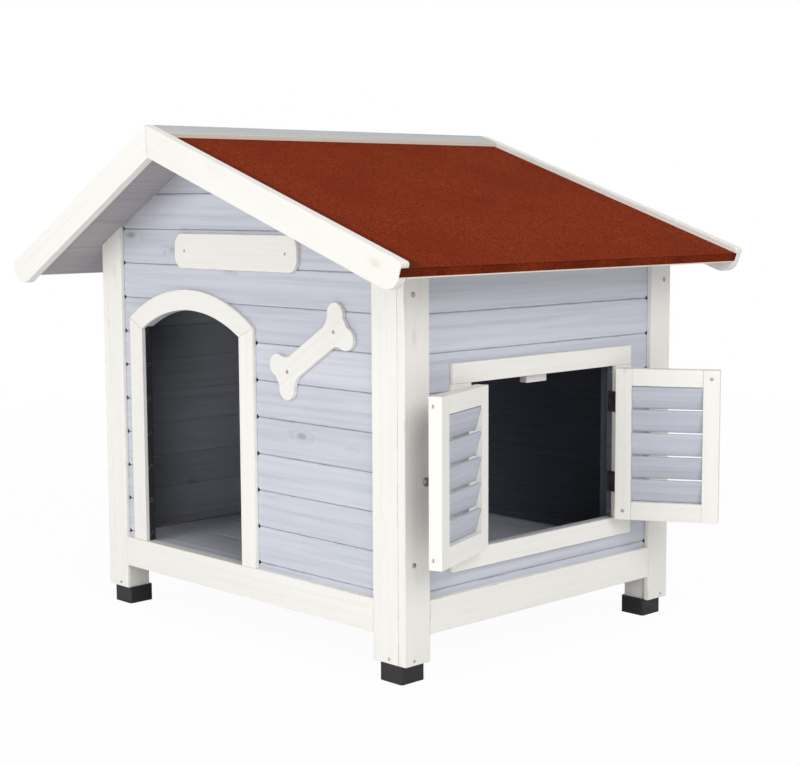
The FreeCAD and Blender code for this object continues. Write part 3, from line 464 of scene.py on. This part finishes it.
# runs a tree on a mesh and returns the plain mesh that it makes
def runTree(name, baseMesh, tree, inputs):
    item = bpy.data.objects.new(name, baseMesh)
    bpy.context.scene.collection.objects.link(item)
    modifier = item.modifiers.new("build", "NODES")
    modifier.node_group = tree
    for socket in tree.interface.items_tree:
        if socket.item_type == "SOCKET" and socket.in_out == "INPUT" and socket.name in inputs:
            modifier[socket.identifier] = inputs[socket.name]
    bpy.context.view_layer.update()
    graph = bpy.context.evaluated_depsgraph_get()
    made = bpy.data.meshes.new_from_object(item.evaluated_get(graph), depsgraph=graph)
    bpy.data.objects.remove(item)
    return made


def patternObject(name, bm):
    mesh = bpy.data.meshes.new(name)
    bm.to_mesh(mesh)
    bm.free()
    item = bpy.data.objects.new(name, mesh)
    bpy.context.scene.collection.objects.link(item)
    return item


# a closed prism between two ends: place(u, v, end) gives the corner of end 0 or 1
def prism(outline, place):
    bm = bmesh.new()
    rings = [[bm.verts.new(place(u, v, end)) for u, v in outline] for end in (0, 1)]
    bm.faces.new(rings[0])
    bm.faces.new(list(reversed(rings[1])))
    count = len(outline)
    for index in range(count):
        after = (index + 1) % count
        bm.faces.new([rings[0][index], rings[1][index], rings[1][after], rings[0][after]])
    bmesh.ops.recalc_face_normals(bm, faces=bm.faces)
    return bm


# a closed four-cornered prism with a four-cornered opening through it
def ringPrism(outer, inner, place):
    bm = bmesh.new()
    rings = [[[bm.verts.new(place(u, v, end)) for u, v in outline] for outline in (outer, inner)]
             for end in (0, 1)]
    for index in range(4):
        after = (index + 1) % 4
        for end in (0, 1):
            bm.faces.new([rings[end][0][index], rings[end][0][after], rings[end][1][after], rings[end][1][index]])
        for which in (0, 1):
            bm.faces.new([rings[0][which][index], rings[1][which][index], rings[1][which][after],
                          rings[0][which][after]])
    bmesh.ops.recalc_face_normals(bm, faces=bm.faces)
    return bm


# boards laid in rows and cut to the outline of the wall
def boardingTree():
    tree, start, end = newTree("boarding", [
        ("Board", "NodeSocketObject"), ("Rows", "NodeSocketInt"), ("Cover width", "NodeSocketVector"),
        ("First row", "NodeSocketVector"), ("Nicks", "NodeSocketObject"), ("Nicked rows", "NodeSocketInt"),
        ("Low nicks", "NodeSocketObject"), ("Low nicked rows", "NodeSocketInt"), ("Finish", "NodeSocketMaterial")])
    line = treeNode(tree, "GeometryNodeMeshLine", {"mode": "OFFSET"},
                    {"Count": start.outputs["Rows"], "Start Location": start.outputs["First row"],
                     "Offset": start.outputs["Cover width"]})
    board = treeNode(tree, "GeometryNodeObjectInfo", None, {"Object": start.outputs["Board"]})
    rows = treeNode(tree, "GeometryNodeInstanceOnPoints", None,
                    {"Points": line.outputs[0], "Instance": board.outputs["Geometry"]})
    solid = treeNode(tree, "GeometryNodeRealizeInstances", None, {"Geometry": rows.outputs[0]})
    cut = treeNode(tree, "GeometryNodeMeshBoolean", {"operation": "INTERSECT", "solver": "EXACT"})
    tree.links.new(solid.outputs[0], cut.inputs["Mesh 2"])
    tree.links.new(start.outputs["Geometry"], cut.inputs["Mesh 2"])
    nicked = treeNode(tree, "GeometryNodeMeshBoolean", {"operation": "DIFFERENCE", "solver": "EXACT"},
                      {"Mesh 1": cut.outputs[0]})
    for shape, count in (("Nicks", "Nicked rows"), ("Low nicks", "Low nicked rows")):
        nickLine = treeNode(tree, "GeometryNodeMeshLine", {"mode": "OFFSET"},
                            {"Count": start.outputs[count], "Start Location": start.outputs["First row"],
                             "Offset": start.outputs["Cover width"]})
        nick = treeNode(tree, "GeometryNodeObjectInfo", None, {"Object": start.outputs[shape]})
        nicks = treeNode(tree, "GeometryNodeInstanceOnPoints", None,
                         {"Points": nickLine.outputs[0], "Instance": nick.outputs["Geometry"]})
        cutters = treeNode(tree, "GeometryNodeRealizeInstances", None, {"Geometry": nicks.outputs[0]})
        tree.links.new(cutters.outputs[0], nicked.inputs["Mesh 2"])
    dressed = treeNode(tree, "GeometryNodeSetMaterial", None,
                       {"Geometry": nicked.outputs[0], "Material": start.outputs["Finish"]})
    tree.links.new(dressed.outputs[0], end.inputs[0])
    return tree


fullTurn = 6.2832


# heads of screws and nails, set on points along their facing
def fixingTree():
    tree, start, end = newTree("fixingHeads", [
        ("Head", "NodeSocketObject"), ("Seed", "NodeSocketInt"), ("Finish", "NodeSocketMaterial")])
    facing = treeNode(tree, "GeometryNodeInputNamedAttribute", {"data_type": "FLOAT_VECTOR"}, None,
                      {0: "facing"})
    aim = treeNode(tree, "FunctionNodeAlignRotationToVector", {"axis": "Z"}, {"Vector": facing.outputs[0]})
    spin = treeNode(tree, "FunctionNodeRandomValue", {"data_type": "FLOAT"}, {"Seed": start.outputs["Seed"]})
    angle = treeNode(tree, "ShaderNodeMath", {"operation": "MULTIPLY"}, {0: spin.outputs[1]}, {1: fullTurn})
    turn = treeNode(tree, "FunctionNodeAxisAngleToRotation", None, {"Angle": angle.outputs[0]},
                    {"Axis": (0.0, 0.0, 1.0)})
    both = treeNode(tree, "FunctionNodeRotateRotation", {"rotation_space": "LOCAL"},
                    {0: aim.outputs[0], 1: turn.outputs[0]})
    head = treeNode(tree, "GeometryNodeObjectInfo", None, {"Object": start.outputs["Head"]})
    placed = treeNode(tree, "GeometryNodeInstanceOnPoints", None,
                      {"Points": start.outputs["Geometry"], "Instance": head.outputs["Geometry"],
                       "Rotation": both.outputs[0]})
    solid = treeNode(tree, "GeometryNodeRealizeInstances", None, {"Geometry": placed.outputs[0]})
    dressed = treeNode(tree, "GeometryNodeSetMaterial", None,
                       {"Geometry": solid.outputs[0], "Material": start.outputs["Finish"]})
    tree.links.new(dressed.outputs[0], end.inputs[0])
    return tree


# louvre slats stepped up a shutter
def slatTree():
    tree, start, end = newTree("louvres", [
        ("Slats", "NodeSocketInt"), ("Step", "NodeSocketFloat"), ("Lowest", "NodeSocketFloat"),
        ("Finish", "NodeSocketMaterial")])
    low = treeNode(tree, "ShaderNodeCombineXYZ", None, {2: start.outputs["Lowest"]})
    step = treeNode(tree, "ShaderNodeCombineXYZ", None, {2: start.outputs["Step"]})
    line = treeNode(tree, "GeometryNodeMeshLine", {"mode": "OFFSET"},
                    {"Count": start.outputs["Slats"], "Start Location": low.outputs[0], "Offset": step.outputs[0]})
    rows = treeNode(tree, "GeometryNodeInstanceOnPoints", None,
                    {"Points": line.outputs[0], "Instance": start.outputs["Geometry"]})
    solid = treeNode(tree, "GeometryNodeRealizeInstances", None, {"Geometry": rows.outputs[0]})
    dressed = treeNode(tree, "GeometryNodeSetMaterial", None,
                       {"Geometry": solid.outputs[0], "Material": start.outputs["Finish"]})
    tree.links.new(dressed.outputs[0], end.inputs[0])
    return tree


roofPitch = {"left": math.radians(29.2), "right": math.radians(19.2)}
boarding = {"cover": 0.0572, "firstRow": 0.0708, "chamfer": 0.002, "gap": 0.00022, "tongue": 0.005,
            "tongueThick": 0.0036, "slack": 0.0002, "rootGap": 0.0004, "apexX": -0.0778, "rows": 13,
            "nickWide": 0.0034, "nickTall": 0.0040, "nickDeep": 0.0055, "proud": 0.004, "overrun": 0.01}


def boardSection(thick):
    edge, gap = boarding["chamfer"], boarding["gap"]
    near, far = (thick - boarding["tongueThick"]) / 2, (thick + boarding["tongueThick"]) / 2
    top, reach = boarding["cover"] - gap, boarding["cover"] + boarding["tongue"]
    low, slack = boarding["tongue"] + boarding["rootGap"], boarding["slack"]
    return [(0, edge), (0, top - edge), (edge * 0.35, top - edge * 0.3), (edge, top), (near, top),
            (near, reach), (far, reach), (far, top), (thick, top), (thick, gap), (far + slack, gap),
            (far + slack, low), (near - slack, low), (near - slack, gap), (edge, gap), (edge * 0.35, edge * 0.3)]


# points of the arch, left to right, from its spring line to its crown and back
def archPoints(centreX, springZ, half, radius, steps):
    rise = math.sqrt(radius * radius - half * half)
    spread = math.asin(half / radius)
    return [(centreX + radius * math.sin(-spread + 2 * spread * step / steps),
             springZ - rise + radius * math.cos(-spread + 2 * spread * step / steps)) for step in range(steps + 1)]


rowTree = boardingTree()


# one wall of boards: outward is the way it faces, shade how much painted shade its inner faces and cut edges get,
# opening a hole in it, nicks where its columns of small gaps stand and how many rows each has
def boardWall(name, nodeName, outward, outline, shade, nicks, opening=None):
    low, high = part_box(nodeName)
    axis = 0 if abs(outward[0]) else 1
    sign = outward[axis]
    face = high[axis] if sign > 0 else low[axis]
    thick = high[axis] - low[axis]
    other = 1 - axis
    reach = (low[other] - boarding["overrun"], high[other] + boarding["overrun"])

    def boardPlace(depth, height, end):
        spot = [0.0, 0.0, height]
        spot[axis] = face - sign * depth
        spot[other] = reach[end]
        return spot

    board = patternObject(name + "Pattern", prism(boardSection(thick), boardPlace))

    def panelPlace(along, height, end):
        spot = [0.0, 0.0, height]
        spot[other] = along
        proud = boarding["proud"]
        spot[axis] = face + sign * proud if end == 0 else face - sign * (thick + proud)
        return spot

    # a small gap where a joint runs into the trim
    def nickObject(spot, part):
        wide, tall = boarding["nickWide"], boarding["nickTall"]
        diamond = [(spot - wide, 0.0), (spot, -tall), (spot + wide, 0.0), (spot, tall)]
        depth = (-boarding["proud"], boarding["nickDeep"])

        def nickPlace(along, height, end):
            corner = [0.0, 0.0, height]
            corner[other] = along
            corner[axis] = face - sign * depth[end]
            return corner

        return patternObject(name + part, prism(diamond, nickPlace))

    nickShapes = [nickObject(column[0], "Nick%d" % index) for index, column in enumerate(nicks)]
    nickRows = [column[1] for column in nicks]
    panel = ringPrism(outline, opening, panelPlace) if opening else prism(outline, panelPlace)
    base = bpy.data.meshes.new(name + "Panel")
    panel.to_mesh(base)
    panel.free()
    made = runTree(name + "Rows", base, rowTree, {
        "Board": board, "Rows": boarding["rows"], "Cover width": (0.0, 0.0, boarding["cover"]),
        "First row": (0.0, 0.0, boarding["firstRow"]), "Finish": finishes["blueGlaze"],
        "Nicks": nickShapes[0], "Nicked rows": nickRows[0],
        "Low nicks": nickShapes[1], "Low nicked rows": nickRows[1]})
    for item in [board] + nickShapes:
        bpy.data.objects.remove(item)
    bm = bmesh.new()
    bm.from_mesh(made)
    bmesh.ops.remove_doubles(bm, verts=bm.verts, dist=1e-6)
    bm.normal_update()
    along = [0, 0, 0]
    along[other] = 1
    bm.faces.layers.float.new("arris")
    bm.faces.layers.float.new("inside")
    arris = bm.faces.layers.float["arris"]
    inside = bm.faces.layers.float["inside"]
    for piece in bm.faces:
        slope = abs(piece.normal[2])
        piece[arris] = 0.7 if 0.2 < slope < 0.97 and abs(piece.normal[other]) < 0.1 else 0.0
        edgeOn = abs(piece.normal[other]) > 0.5 and abs(piece.normal[axis]) < 0.2
        unseen = piece.normal[axis] * sign < -0.9 or edgeOn
        # faces turned into the cabin and cut edges get painted shade, as much as shade says
        piece[inside] = shade if unseen else 0.0
    markTimber(bm, along, random.Random(name))
    item = objectFrom(name, bm, finishes["blueGlaze"])
    return seat(item, "house", "blue_boarding", nodeName)


doorway = {"left": -0.258, "right": 0.0, "spring": 0.478, "radius": 0.249, "steps": 40}
arch = archPoints((doorway["left"] + doorway["right"]) / 2, doorway["spring"],
                  (doorway["right"] - doorway["left"]) / 2, doorway["radius"], doorway["steps"])


# a gable from its lower left corner round, by way of the doorway where it has one
def gableOutline(nodeName, hasDoor):
    low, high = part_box(nodeName)
    door = [(doorway["left"], low[2])] + arch + [(doorway["right"], low[2])] if hasDoor else []
    leftTop = high[2] - (boarding["apexX"] - low[0]) * math.tan(roofPitch["left"])
    rightTop = high[2] - (high[0] - boarding["apexX"]) * math.tan(roofPitch["right"])
    return ([(low[0], low[2])] + door
            + [(high[0], low[2]), (high[0], rightTop), (boarding["apexX"], high[2]), (low[0], leftTop)])


# each column of gaps: its place along the wall and its number of rows
nickColumns = {"front": ((-0.3138, 13), (0.0362, 8)), "rear": ((-0.3138, 13), (0.3018, 13)),
               "side": ((-0.2523, 13), (0.2523, 13))}
boardWall("frontBoarding", "front_planks", (0, -1), gableOutline("front_planks", True), 0.8, nickColumns["front"])
boardWall("rearBoarding", "rear_planks", (0, 1), gableOutline("rear_planks", False), 1.0, nickColumns["rear"])


# a side wall, its top a little lower than its node's, clear of the roof
def wallOutline(nodeName, drop):
    low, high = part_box(nodeName)
    return [(low[1], low[2]), (high[1], low[2]), (high[1], high[2] - drop), (low[1], high[2] - drop)]


window = {"half": 0.166, "sill": 0.18, "head": 0.425}
boardWall("leftBoarding", "left_planks", (-1, 0), wallOutline("left_planks", 0.003), 0.34, nickColumns["side"])
boardWall("rightBoarding", "right_planks", (1, 0), wallOutline("right_planks", 0.002), 0.8, nickColumns["side"], [
    (-window["half"], window["sill"]), (window["half"], window["sill"]),
    (window["half"], window["head"]), (-window["half"], window["head"])])
print("boarding laid")


for nodeName in ("post_front_left", "post_front_right", "post_rear_left", "post_rear_right"):
    dressedTimber(nodeName.replace("post_", "post-"), [nodeName], "whiteGlaze", "house", "glazed_timber", 0.0015)

# each piece of white trim with its node and the width of its eased edges
trimPieces = {
    "front-cover-boards": ("front_cover_boards", 0.0012), "rear-cover-boards": ("rear_cover_boards", 0.0012),
    "left-cover-boards": ("left_cover_boards", 0.0018), "right-cover-boards": ("right_cover_boards", 0.0018),
    "front-rail-board": ("front_rail", 0.0012), "rear-rail-board": ("rear_rail", 0.0012),
    "left-rail-board": ("left_rail", 0.0012), "right-rail-board": ("right_rail", 0.0012),
    "door-stile-boards": ("door_stiles", 0.0012), "window-head": ("window_head_board", 0.001),
    "window-sill": ("window_sill_board", 0.001), "window-sides": ("window_side_boards", 0.001),
    "gable-board-front-left": ("front_barge_left", 0.0012),
    "gable-board-front-right": ("front_barge_right", 0.0012),
    "gable-board-rear-left": ("rear_barge_left", 0.0012), "gable-board-rear-right": ("rear_barge_right", 0.0012),
}
inwardFaces = {"front-rail-board": (0, 1, 0), "rear-rail-board": (0, -1, 0), "left-rail-board": (1, 0, 0),
               "right-rail-board": (-1, 0, 0)}
for name, (nodeName, width) in trimPieces.items():
    dressedTimber(name, [nodeName], "whiteGlaze", "house", "white_timber", width, inward=inwardFaces.get(name))
dressedTimber("door-arch-board", ["door_arch"], "whiteGlaze", "house", "white_timber", 0.001, (1, 0, 0))
dressedTimber("plate-board", ["name_plate"], "whiteGlaze", "house", "white_timber", 0.0015, (1, 0, 0))
dressedTimber("bone-board", ["bone"], "whiteGlaze", "house", "white_timber", 0.0012, (0.85, 0, 0.53))
# edges painted paler: painted light on the ridge, on the decks partly their cream colour and partly painted light
paleEdges = {"left": (-1, 0, -0.5), "right": (1, 0, -0.3)}
# the ridge cover: grey glaze darkened as painted shade, its lower edge painted light
dressedTimber("ridge-cover", ["ridge_boards"], "ridgeGreyAndShade", "house", "white_timber", 0.001,
              paleEdge=paleEdges["right"])
for flank in ("left", "right"):
    dressedTimber("roof-deck-" + flank, ["roof_deck_" + flank], "bareBoards", "house", "bare_timber", 0.001,
                  (0, 1, 0), paleEdge=paleEdges[flank])
# the timber inside the cabin takes the glaze darkened as painted shade
for name, nodeName in (("roof-beams", "roof_battens"), ("wall-uprights", "wall_battens"),
                       ("window-frame-inside", "window_battens"), ("floor-bearers", "floor_joists")):
    dressedTimber(name, [nodeName], "shadedInsideGlaze", "house", "glazed_timber", 0.001)
dressedTimber("stop-block", ["shutter_stop"], "whiteGlaze", "house", "glazed_timber", 0.001)
dressedTimber("floor-planks", ["floor_boards"], "blueGlaze", "house", "blue_boarding", 0.0012, swell=0.0006)
print("house timber dressed")


shutter = {"pinX": 0.3715, "pinY": 0.1648, "fieldNear": 0.0267, "fieldFar": 0.1373, "tongue": 0.0038,
           "slats": 5, "step": 0.037, "lowest": 0.2295, "middle": -0.01525, "tilt": 15.0,
           "thick": 0.006, "wide": 0.03597, "round": 0.0016, "frontOpening": 160.0, "rearOpening": 121.0}
louvres = slatTree()


def slatSection():
    halfThick, halfWide, ease = shutter["thick"] / 2, shutter["wide"] / 2, shutter["round"]
    ring = []
    for cornerU, cornerV, start in ((1, 1, 0), (-1, 1, 90), (-1, -1, 180), (1, -1, 270)):
        for step in range(5):
            angle = math.radians(start + 22.5 * step)
            ring.append((cornerU * (halfThick - ease) + ease * math.cos(angle),
                         cornerV * (halfWide - ease) + ease * math.sin(angle)))
    turn = math.radians(shutter["tilt"])
    return [(shutter["middle"] + u * math.cos(turn) - v * math.sin(turn), u * math.sin(turn) + v * math.cos(turn))
            for u, v in ring]


def buildSlats(name, side, opening, nodeName, body):
    ends = [-side * (shutter["fieldNear"] - shutter["tongue"]), -side * (shutter["fieldFar"] + shutter["tongue"])]
    one = prism(slatSection(), lambda across, height, end: (across, ends[end], height))
    base = bpy.data.meshes.new(name + "One")
    one.to_mesh(base)
    one.free()
    # the slats take the blue glaze darkened as painted shade
    made = runTree(name, base, louvres, {"Slats": shutter["slats"], "Step": shutter["step"],
                                         "Lowest": shutter["lowest"], "Finish": finishes["shadedSlatGlaze"]})
    swing = (Matrix.Translation((shutter["pinX"], side * shutter["pinY"], 0))
             @ Matrix.Rotation(math.radians(side * opening), 4, "Z"))
    bm = bmesh.new()
    bm.from_mesh(made)
    bm.transform(swing)
    bmesh.ops.recalc_face_normals(bm, faces=bm.faces)
    bm.normal_update()
    bm.faces.layers.float.new("arris")
    markTimber(bm, swing.to_3x3() @ Vector((0, 1, 0)), random.Random(name))
    return seat(objectFrom(name, bm, finishes["shadedSlatGlaze"], 30.0), body, "blue_boarding", nodeName)


for which, side in (("front", -1), ("rear", 1)):
    body = which + "_shutter"
    buildSlats(which + "-louvres", side, shutter[which + "Opening"], body + "_slats", body)
    dressedTimber(which + "-shutter-stiles", [body + "_stiles"], "whiteGlaze", body, "white_timber", 0.001,
                  (0, 0, 1))
    dressedTimber(which + "-shutter-rails", [body + "_rails"], "whiteGlaze", body, "white_timber", 0.001)
print("shutters hung")


heads = {"screw": {"radius": 0.004, "tall": 0.0012, "cross": 0.6, "deep": 0.0008},
         "smallScrew": {"radius": 0.003, "tall": 0.0008, "cross": 0.6, "deep": 0.0006},
         "nail": {"radius": 0.0025, "tall": 0.0008, "cross": 0.0, "deep": 0.0002}}


# a domed head on the XY plane, a crossed screw or a plain nail
def headObject(name, size):
    radius, tall, deep = size["radius"], size["tall"], size["deep"]
    bm = bmesh.new()

    def ringAt(scale, height):
        angles = [math.pi * step / 12 for step in range(24)]
        return [bm.verts.new((scale * math.cos(angle), scale * math.sin(angle), height)) for angle in angles]

    rings = [ringAt(radius, 0.0), ringAt(radius, tall * 0.3), ringAt(radius * 0.93, tall * 0.62),
             ringAt(radius * 0.78, tall * 0.87)]
    if size["cross"]:
        arm, narrow = radius * size["cross"], radius * 0.16
        quarter = [(arm, 0), (arm, narrow), ((arm + narrow) / 2, narrow), (narrow, narrow),
                   (narrow, (arm + narrow) / 2), (narrow, arm)]
        cross = []
        for turn in range(4):
            for u, v in quarter:
                cross.append(((u, v), (-v, u), (-u, -v), (v, -u))[turn])
        rings.append([bm.verts.new((u, v, tall)) for u, v in cross])
        rings.append([bm.verts.new((u * 0.82, v * 0.82, tall - deep)) for u, v in cross])
    else:
        rings.append(ringAt(radius * 0.45, tall))
        rings.append(ringAt(radius * 0.2, tall - deep))
    for lower, upper in zip(rings, rings[1:]):
        for step in range(24):
            after = (step + 1) % 24
            bm.faces.new([lower[step], lower[after], upper[after], upper[step]])
    bm.faces.new(rings[-1])
    bm.faces.new(list(reversed(rings[0])))
    bmesh.ops.recalc_face_normals(bm, faces=bm.faces)
    return patternObject(name, bm)


headObjects = {name: headObject(name + "Head", size) for name, size in heads.items()}
headTree = fixingTree()


# heads at the middles of the node's solids; outward(point) gives the way each one faces
def setHeads(name, nodeName, kind, outward, body, seed):
    points = []
    for corners, faces in solidsOf(nodeName):
        middle = sum(corners, Vector()) / len(corners)
        facing = Vector(outward(middle)).normalized()
        base = min(corner.dot(facing) for corner in corners)
        points.append((middle + facing * (base - middle.dot(facing)), facing))
    mesh = bpy.data.meshes.new(name + "Points")
    mesh.from_pydata([point for point, facing in points], [], [])
    layer = mesh.attributes.new("facing", "FLOAT_VECTOR", "POINT")
    layer.data.foreach_set("vector", [value for point, facing in points for value in facing])
    made = runTree(name, mesh, headTree, {"Head": headObjects[kind], "Seed": seed, "Finish": finishes["zinc"]})
    bm = bmesh.new()
    bm.from_mesh(made)
    bm.normal_update()
    return seat(objectFrom(name, bm, finishes["zinc"], 32.0), body, "fixings", nodeName)


# heads whose middles lie further out than this are on a side wall's trim
sideTrimX = 0.3695


def wallFacing(point):
    if abs(point.x) > sideTrimX:
        return (math.copysign(1, point.x), 0, 0)
    return (0, math.copysign(1, point.y), 0)


def frontFacing(point):
    return (0, -1, 0)


def shutterFacing(side, opening):
    turn = Matrix.Rotation(math.radians(side * opening), 3, "Z")
    return lambda point: turn @ Vector((-1, 0, 0))


setHeads("cover-board-screws", "cover_screws", "screw", wallFacing, "house", 3)
setHeads("cover-board-nails", "cover_nails", "nail", wallFacing, "house", 5)
setHeads("plate-pins", "plate_nails", "nail", frontFacing, "house", 7)
setHeads("bone-fixing-screws", "bone_screws", "smallScrew", frontFacing, "house", 11)
setHeads("front-shutter-corner-screws", "front_shutter_screws", "smallScrew",
         shutterFacing(-1, shutter["frontOpening"]), "front_shutter", 13)
setHeads("rear-shutter-corner-screws", "rear_shutter_screws", "smallScrew",
         shutterFacing(1, shutter["rearOpening"]), "rear_shutter", 17)
for item in headObjects.values():
    bpy.data.objects.remove(item)
print("fixings set")


feltSheet = {"ease": 0.0009, "lap": 0.0146}


# the right sheet's turned down edge runs on over the end of the front gable board
def lapFold(bm, lap):
    down = Vector((math.cos(roofPitch["right"]), 0, -math.sin(roofPitch["right"])))
    end = next(face for face in bm.faces if face.normal.y < -0.9)
    rearY = max(corner.co.y for corner in bm.verts)
    ring = [corner.co.copy() for corner in end.verts]
    low, high = sorted(sorted(ring, key=down.dot)[-2:], key=lambda spot: spot.z)
    first = ring.index(high)
    ring = ring[first:] + ring[:first]
    if ring[1] != low:
        ring = ring[:1] + ring[:0:-1]
    under = ring[2]
    section = [high + under - low] + ring  # from the top of the fold, round it, then back under the sheet
    bm.clear()

    def rowAt(points, y):
        return [bm.verts.new((spot.x, y, spot.z)) for spot in points]

    far, near, tip = rowAt(section, rearY), rowAt(section, high.y), rowAt(section[:5], high.y - lap)
    for one, other in ((far, near), (near[:5], tip)):
        count = len(one)
        for index in range(count):
            after = (index + 1) % count
            bm.faces.new([one[index], one[after], other[after], other[index]])
    bm.faces.new(far)
    bm.faces.new(tip)
    bm.faces.new([near[0]] + near[4:])
    bmesh.ops.recalc_face_normals(bm, faces=bm.faces)
    bmesh.ops.dissolve_limit(bm, angle_limit=math.radians(flatAngle), verts=bm.verts, edges=bm.edges)
    bm.normal_update()


# the sheet with rounded folds, painted shade on the faces where it turns down and its eased edges worn darker
def buildFelt(name, nodeName, lap):
    whole = bmesh.new()
    for corners, faces in solidsOf(nodeName):
        points = [whole.verts.new(corner) for corner in corners]
        for loop in faces:
            whole.faces.new([points[index] for index in loop])
    whole.normal_update()
    bmesh.ops.dissolve_limit(whole, angle_limit=math.radians(flatAngle), verts=whole.verts, edges=whole.edges)
    whole.normal_update()
    if lap:
        lapFold(whole, lap)
    softenEdges(whole, feltSheet["ease"], 3)
    whole.normal_update()
    fold = whole.faces.layers.float.new("fold")
    for face in whole.faces:
        face[fold] = 1.0 if abs(face.normal.z) < 0.6 else 0.0
    return seat(objectFrom(name, whole, finishes["felt"], 35.0), "house", "roofing_felt", nodeName)


buildFelt("felt-sheet-left", "roof_felt_left", 0.0)
buildFelt("felt-sheet-right", "roof_felt_right", feltSheet["lap"])


# the nodes that are shown as they were built, with their finishes
carried = {"foot_front_left": "plastic", "foot_front_right": "plastic", "foot_rear_left": "plastic",
           "foot_rear_right": "plastic", "front_shutter_hinge_leaves": "hinge",
           "rear_shutter_hinge_leaves": "hinge", "jamb_hinge_leaves": "hinge", "front_shutter_knob": "knob"}
for nodeName, finish in carried.items():
    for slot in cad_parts[nodeName].material_slots:
        slot.material = finishes[finish]
print("pieces finished")


studio = {"floorHalf": 9.0, "floorTone": 0.95, "world": 0.46, "cameraWhite": 0.96, "fade": (1.2, 3.6)}


def stageFloor():
    bm = bmesh.new()
    bmesh.ops.create_grid(bm, x_segments=2, y_segments=2, size=studio["floorHalf"])
    f = Finish("paleFloor")
    output = f.tree.nodes["Material Output"]
    place = f.node("ShaderNodeTexCoord", None, None, 3)
    far = f.node("ShaderNodeVectorMath", {"operation": "LENGTH"}, {0: place}, 1)
    fade = f.between(far, *studio["fade"], studio["cameraWhite"], 1.0)
    seen = f.node("ShaderNodeLightPath", None, None, 0)
    white = f.node("ShaderNodeEmission", None, {"Color": (1, 1, 1, 1), "Strength": 1.0})
    tone = studio["floorTone"]
    dust = f.noise(place, 3.0, 3.0)
    colour = f.blend(dust, (tone, tone, tone, 1), (tone * 1.02, tone * 1.02, tone * 1.01, 1))
    f.wear(Base_Color=colour, Roughness=0.8)
    surface = Wire(f, f.surface.outputs[0])
    both = f.node("ShaderNodeMixShader", None, {0: seen * fade, 1: surface, 2: white})
    f.tree.links.new(both.socket, output.inputs["Surface"])
    floor = objectFrom("studioFloor", bm, f.material)


def studioWorld():
    world = bpy.data.worlds.new("studioWorld")
    bpy.context.scene.world = world
    world.use_nodes = True
    tree = world.node_tree
    back = tree.nodes["Background"]
    path = tree.nodes.new("ShaderNodeLightPath")
    total = None
    for name in ("Is Glossy Ray", "Is Transmission Ray"):
        add = tree.nodes.new("ShaderNodeMath")
        add.operation = "MAXIMUM"
        tree.links.new(total or path.outputs["Is Camera Ray"], add.inputs[0])
        tree.links.new(path.outputs[name], add.inputs[1])
        total = add.outputs[0]
    strength = tree.nodes.new("ShaderNodeMapRange")
    tree.links.new(total, strength.inputs["Value"])
    strength.inputs["To Min"].default_value = studio["world"]
    strength.inputs["To Max"].default_value = 1.0
    back.inputs["Color"].default_value = (1, 1, 1, 1)
    tree.links.new(strength.outputs[0], back.inputs["Strength"])


lamps = {"key": {"at": (0.3, -5.4, 1.5), "size": 3.0, "power": 112.0},
         "side": {"at": (4.7, -1.6, 2.9), "size": 3.4, "power": 115.0},
         "top": {"at": (0.4, -0.4, 4.2), "size": 3.2, "power": 22.0}}
lampAim = Vector((0, 0, 0.4))


def hangLamp(name, look):
    light = bpy.data.lights.new(name, "AREA")
    light.shape = "DISK"
    light.size = look["size"]
    light.energy = look["power"]
    lamp = bpy.data.objects.new(name, light)
    lamp.location = look["at"]
    aim = lampAim - Vector(look["at"])
    lamp.rotation_euler = aim.to_track_quat("-Z", "Y").to_euler()
    bpy.context.scene.collection.objects.link(lamp)


eye = {"at": (1.98534, -1.86275, 0.68799), "azimuth": 46.1635, "down": 6.416, "roll": -0.286,
       "lens": 73.184, "sensor": 36.0, "farthest": 60.0}


def placeCamera():
    turn, down, roll = (math.radians(eye[key]) for key in ("azimuth", "down", "roll"))
    look = Vector((-math.sin(turn) * math.cos(down), math.cos(turn) * math.cos(down), -math.sin(down)))
    right = Vector((math.cos(turn), math.sin(turn), 0))
    up = right.cross(look)
    across = math.cos(roll) * right + math.sin(roll) * up
    above = -math.sin(roll) * right + math.cos(roll) * up
    camera = bpy.data.objects.new("photoCamera", bpy.data.cameras.new("photoCamera"))
    camera.data.sensor_width = eye["sensor"]
    camera.data.lens = eye["lens"]
    camera.data.clip_end = eye["farthest"]
    turned = Matrix((across, above, -look)).transposed().to_4x4()
    camera.matrix_world = Matrix.Translation(eye["at"]) @ turned
    bpy.context.scene.collection.objects.link(camera)
    bpy.context.scene.camera = camera


stageFloor()
studioWorld()
for name, look in lamps.items():
    hangLamp(name, look)
placeCamera()
bpy.context.scene.view_settings.view_transform = "Standard"
print("studio set")
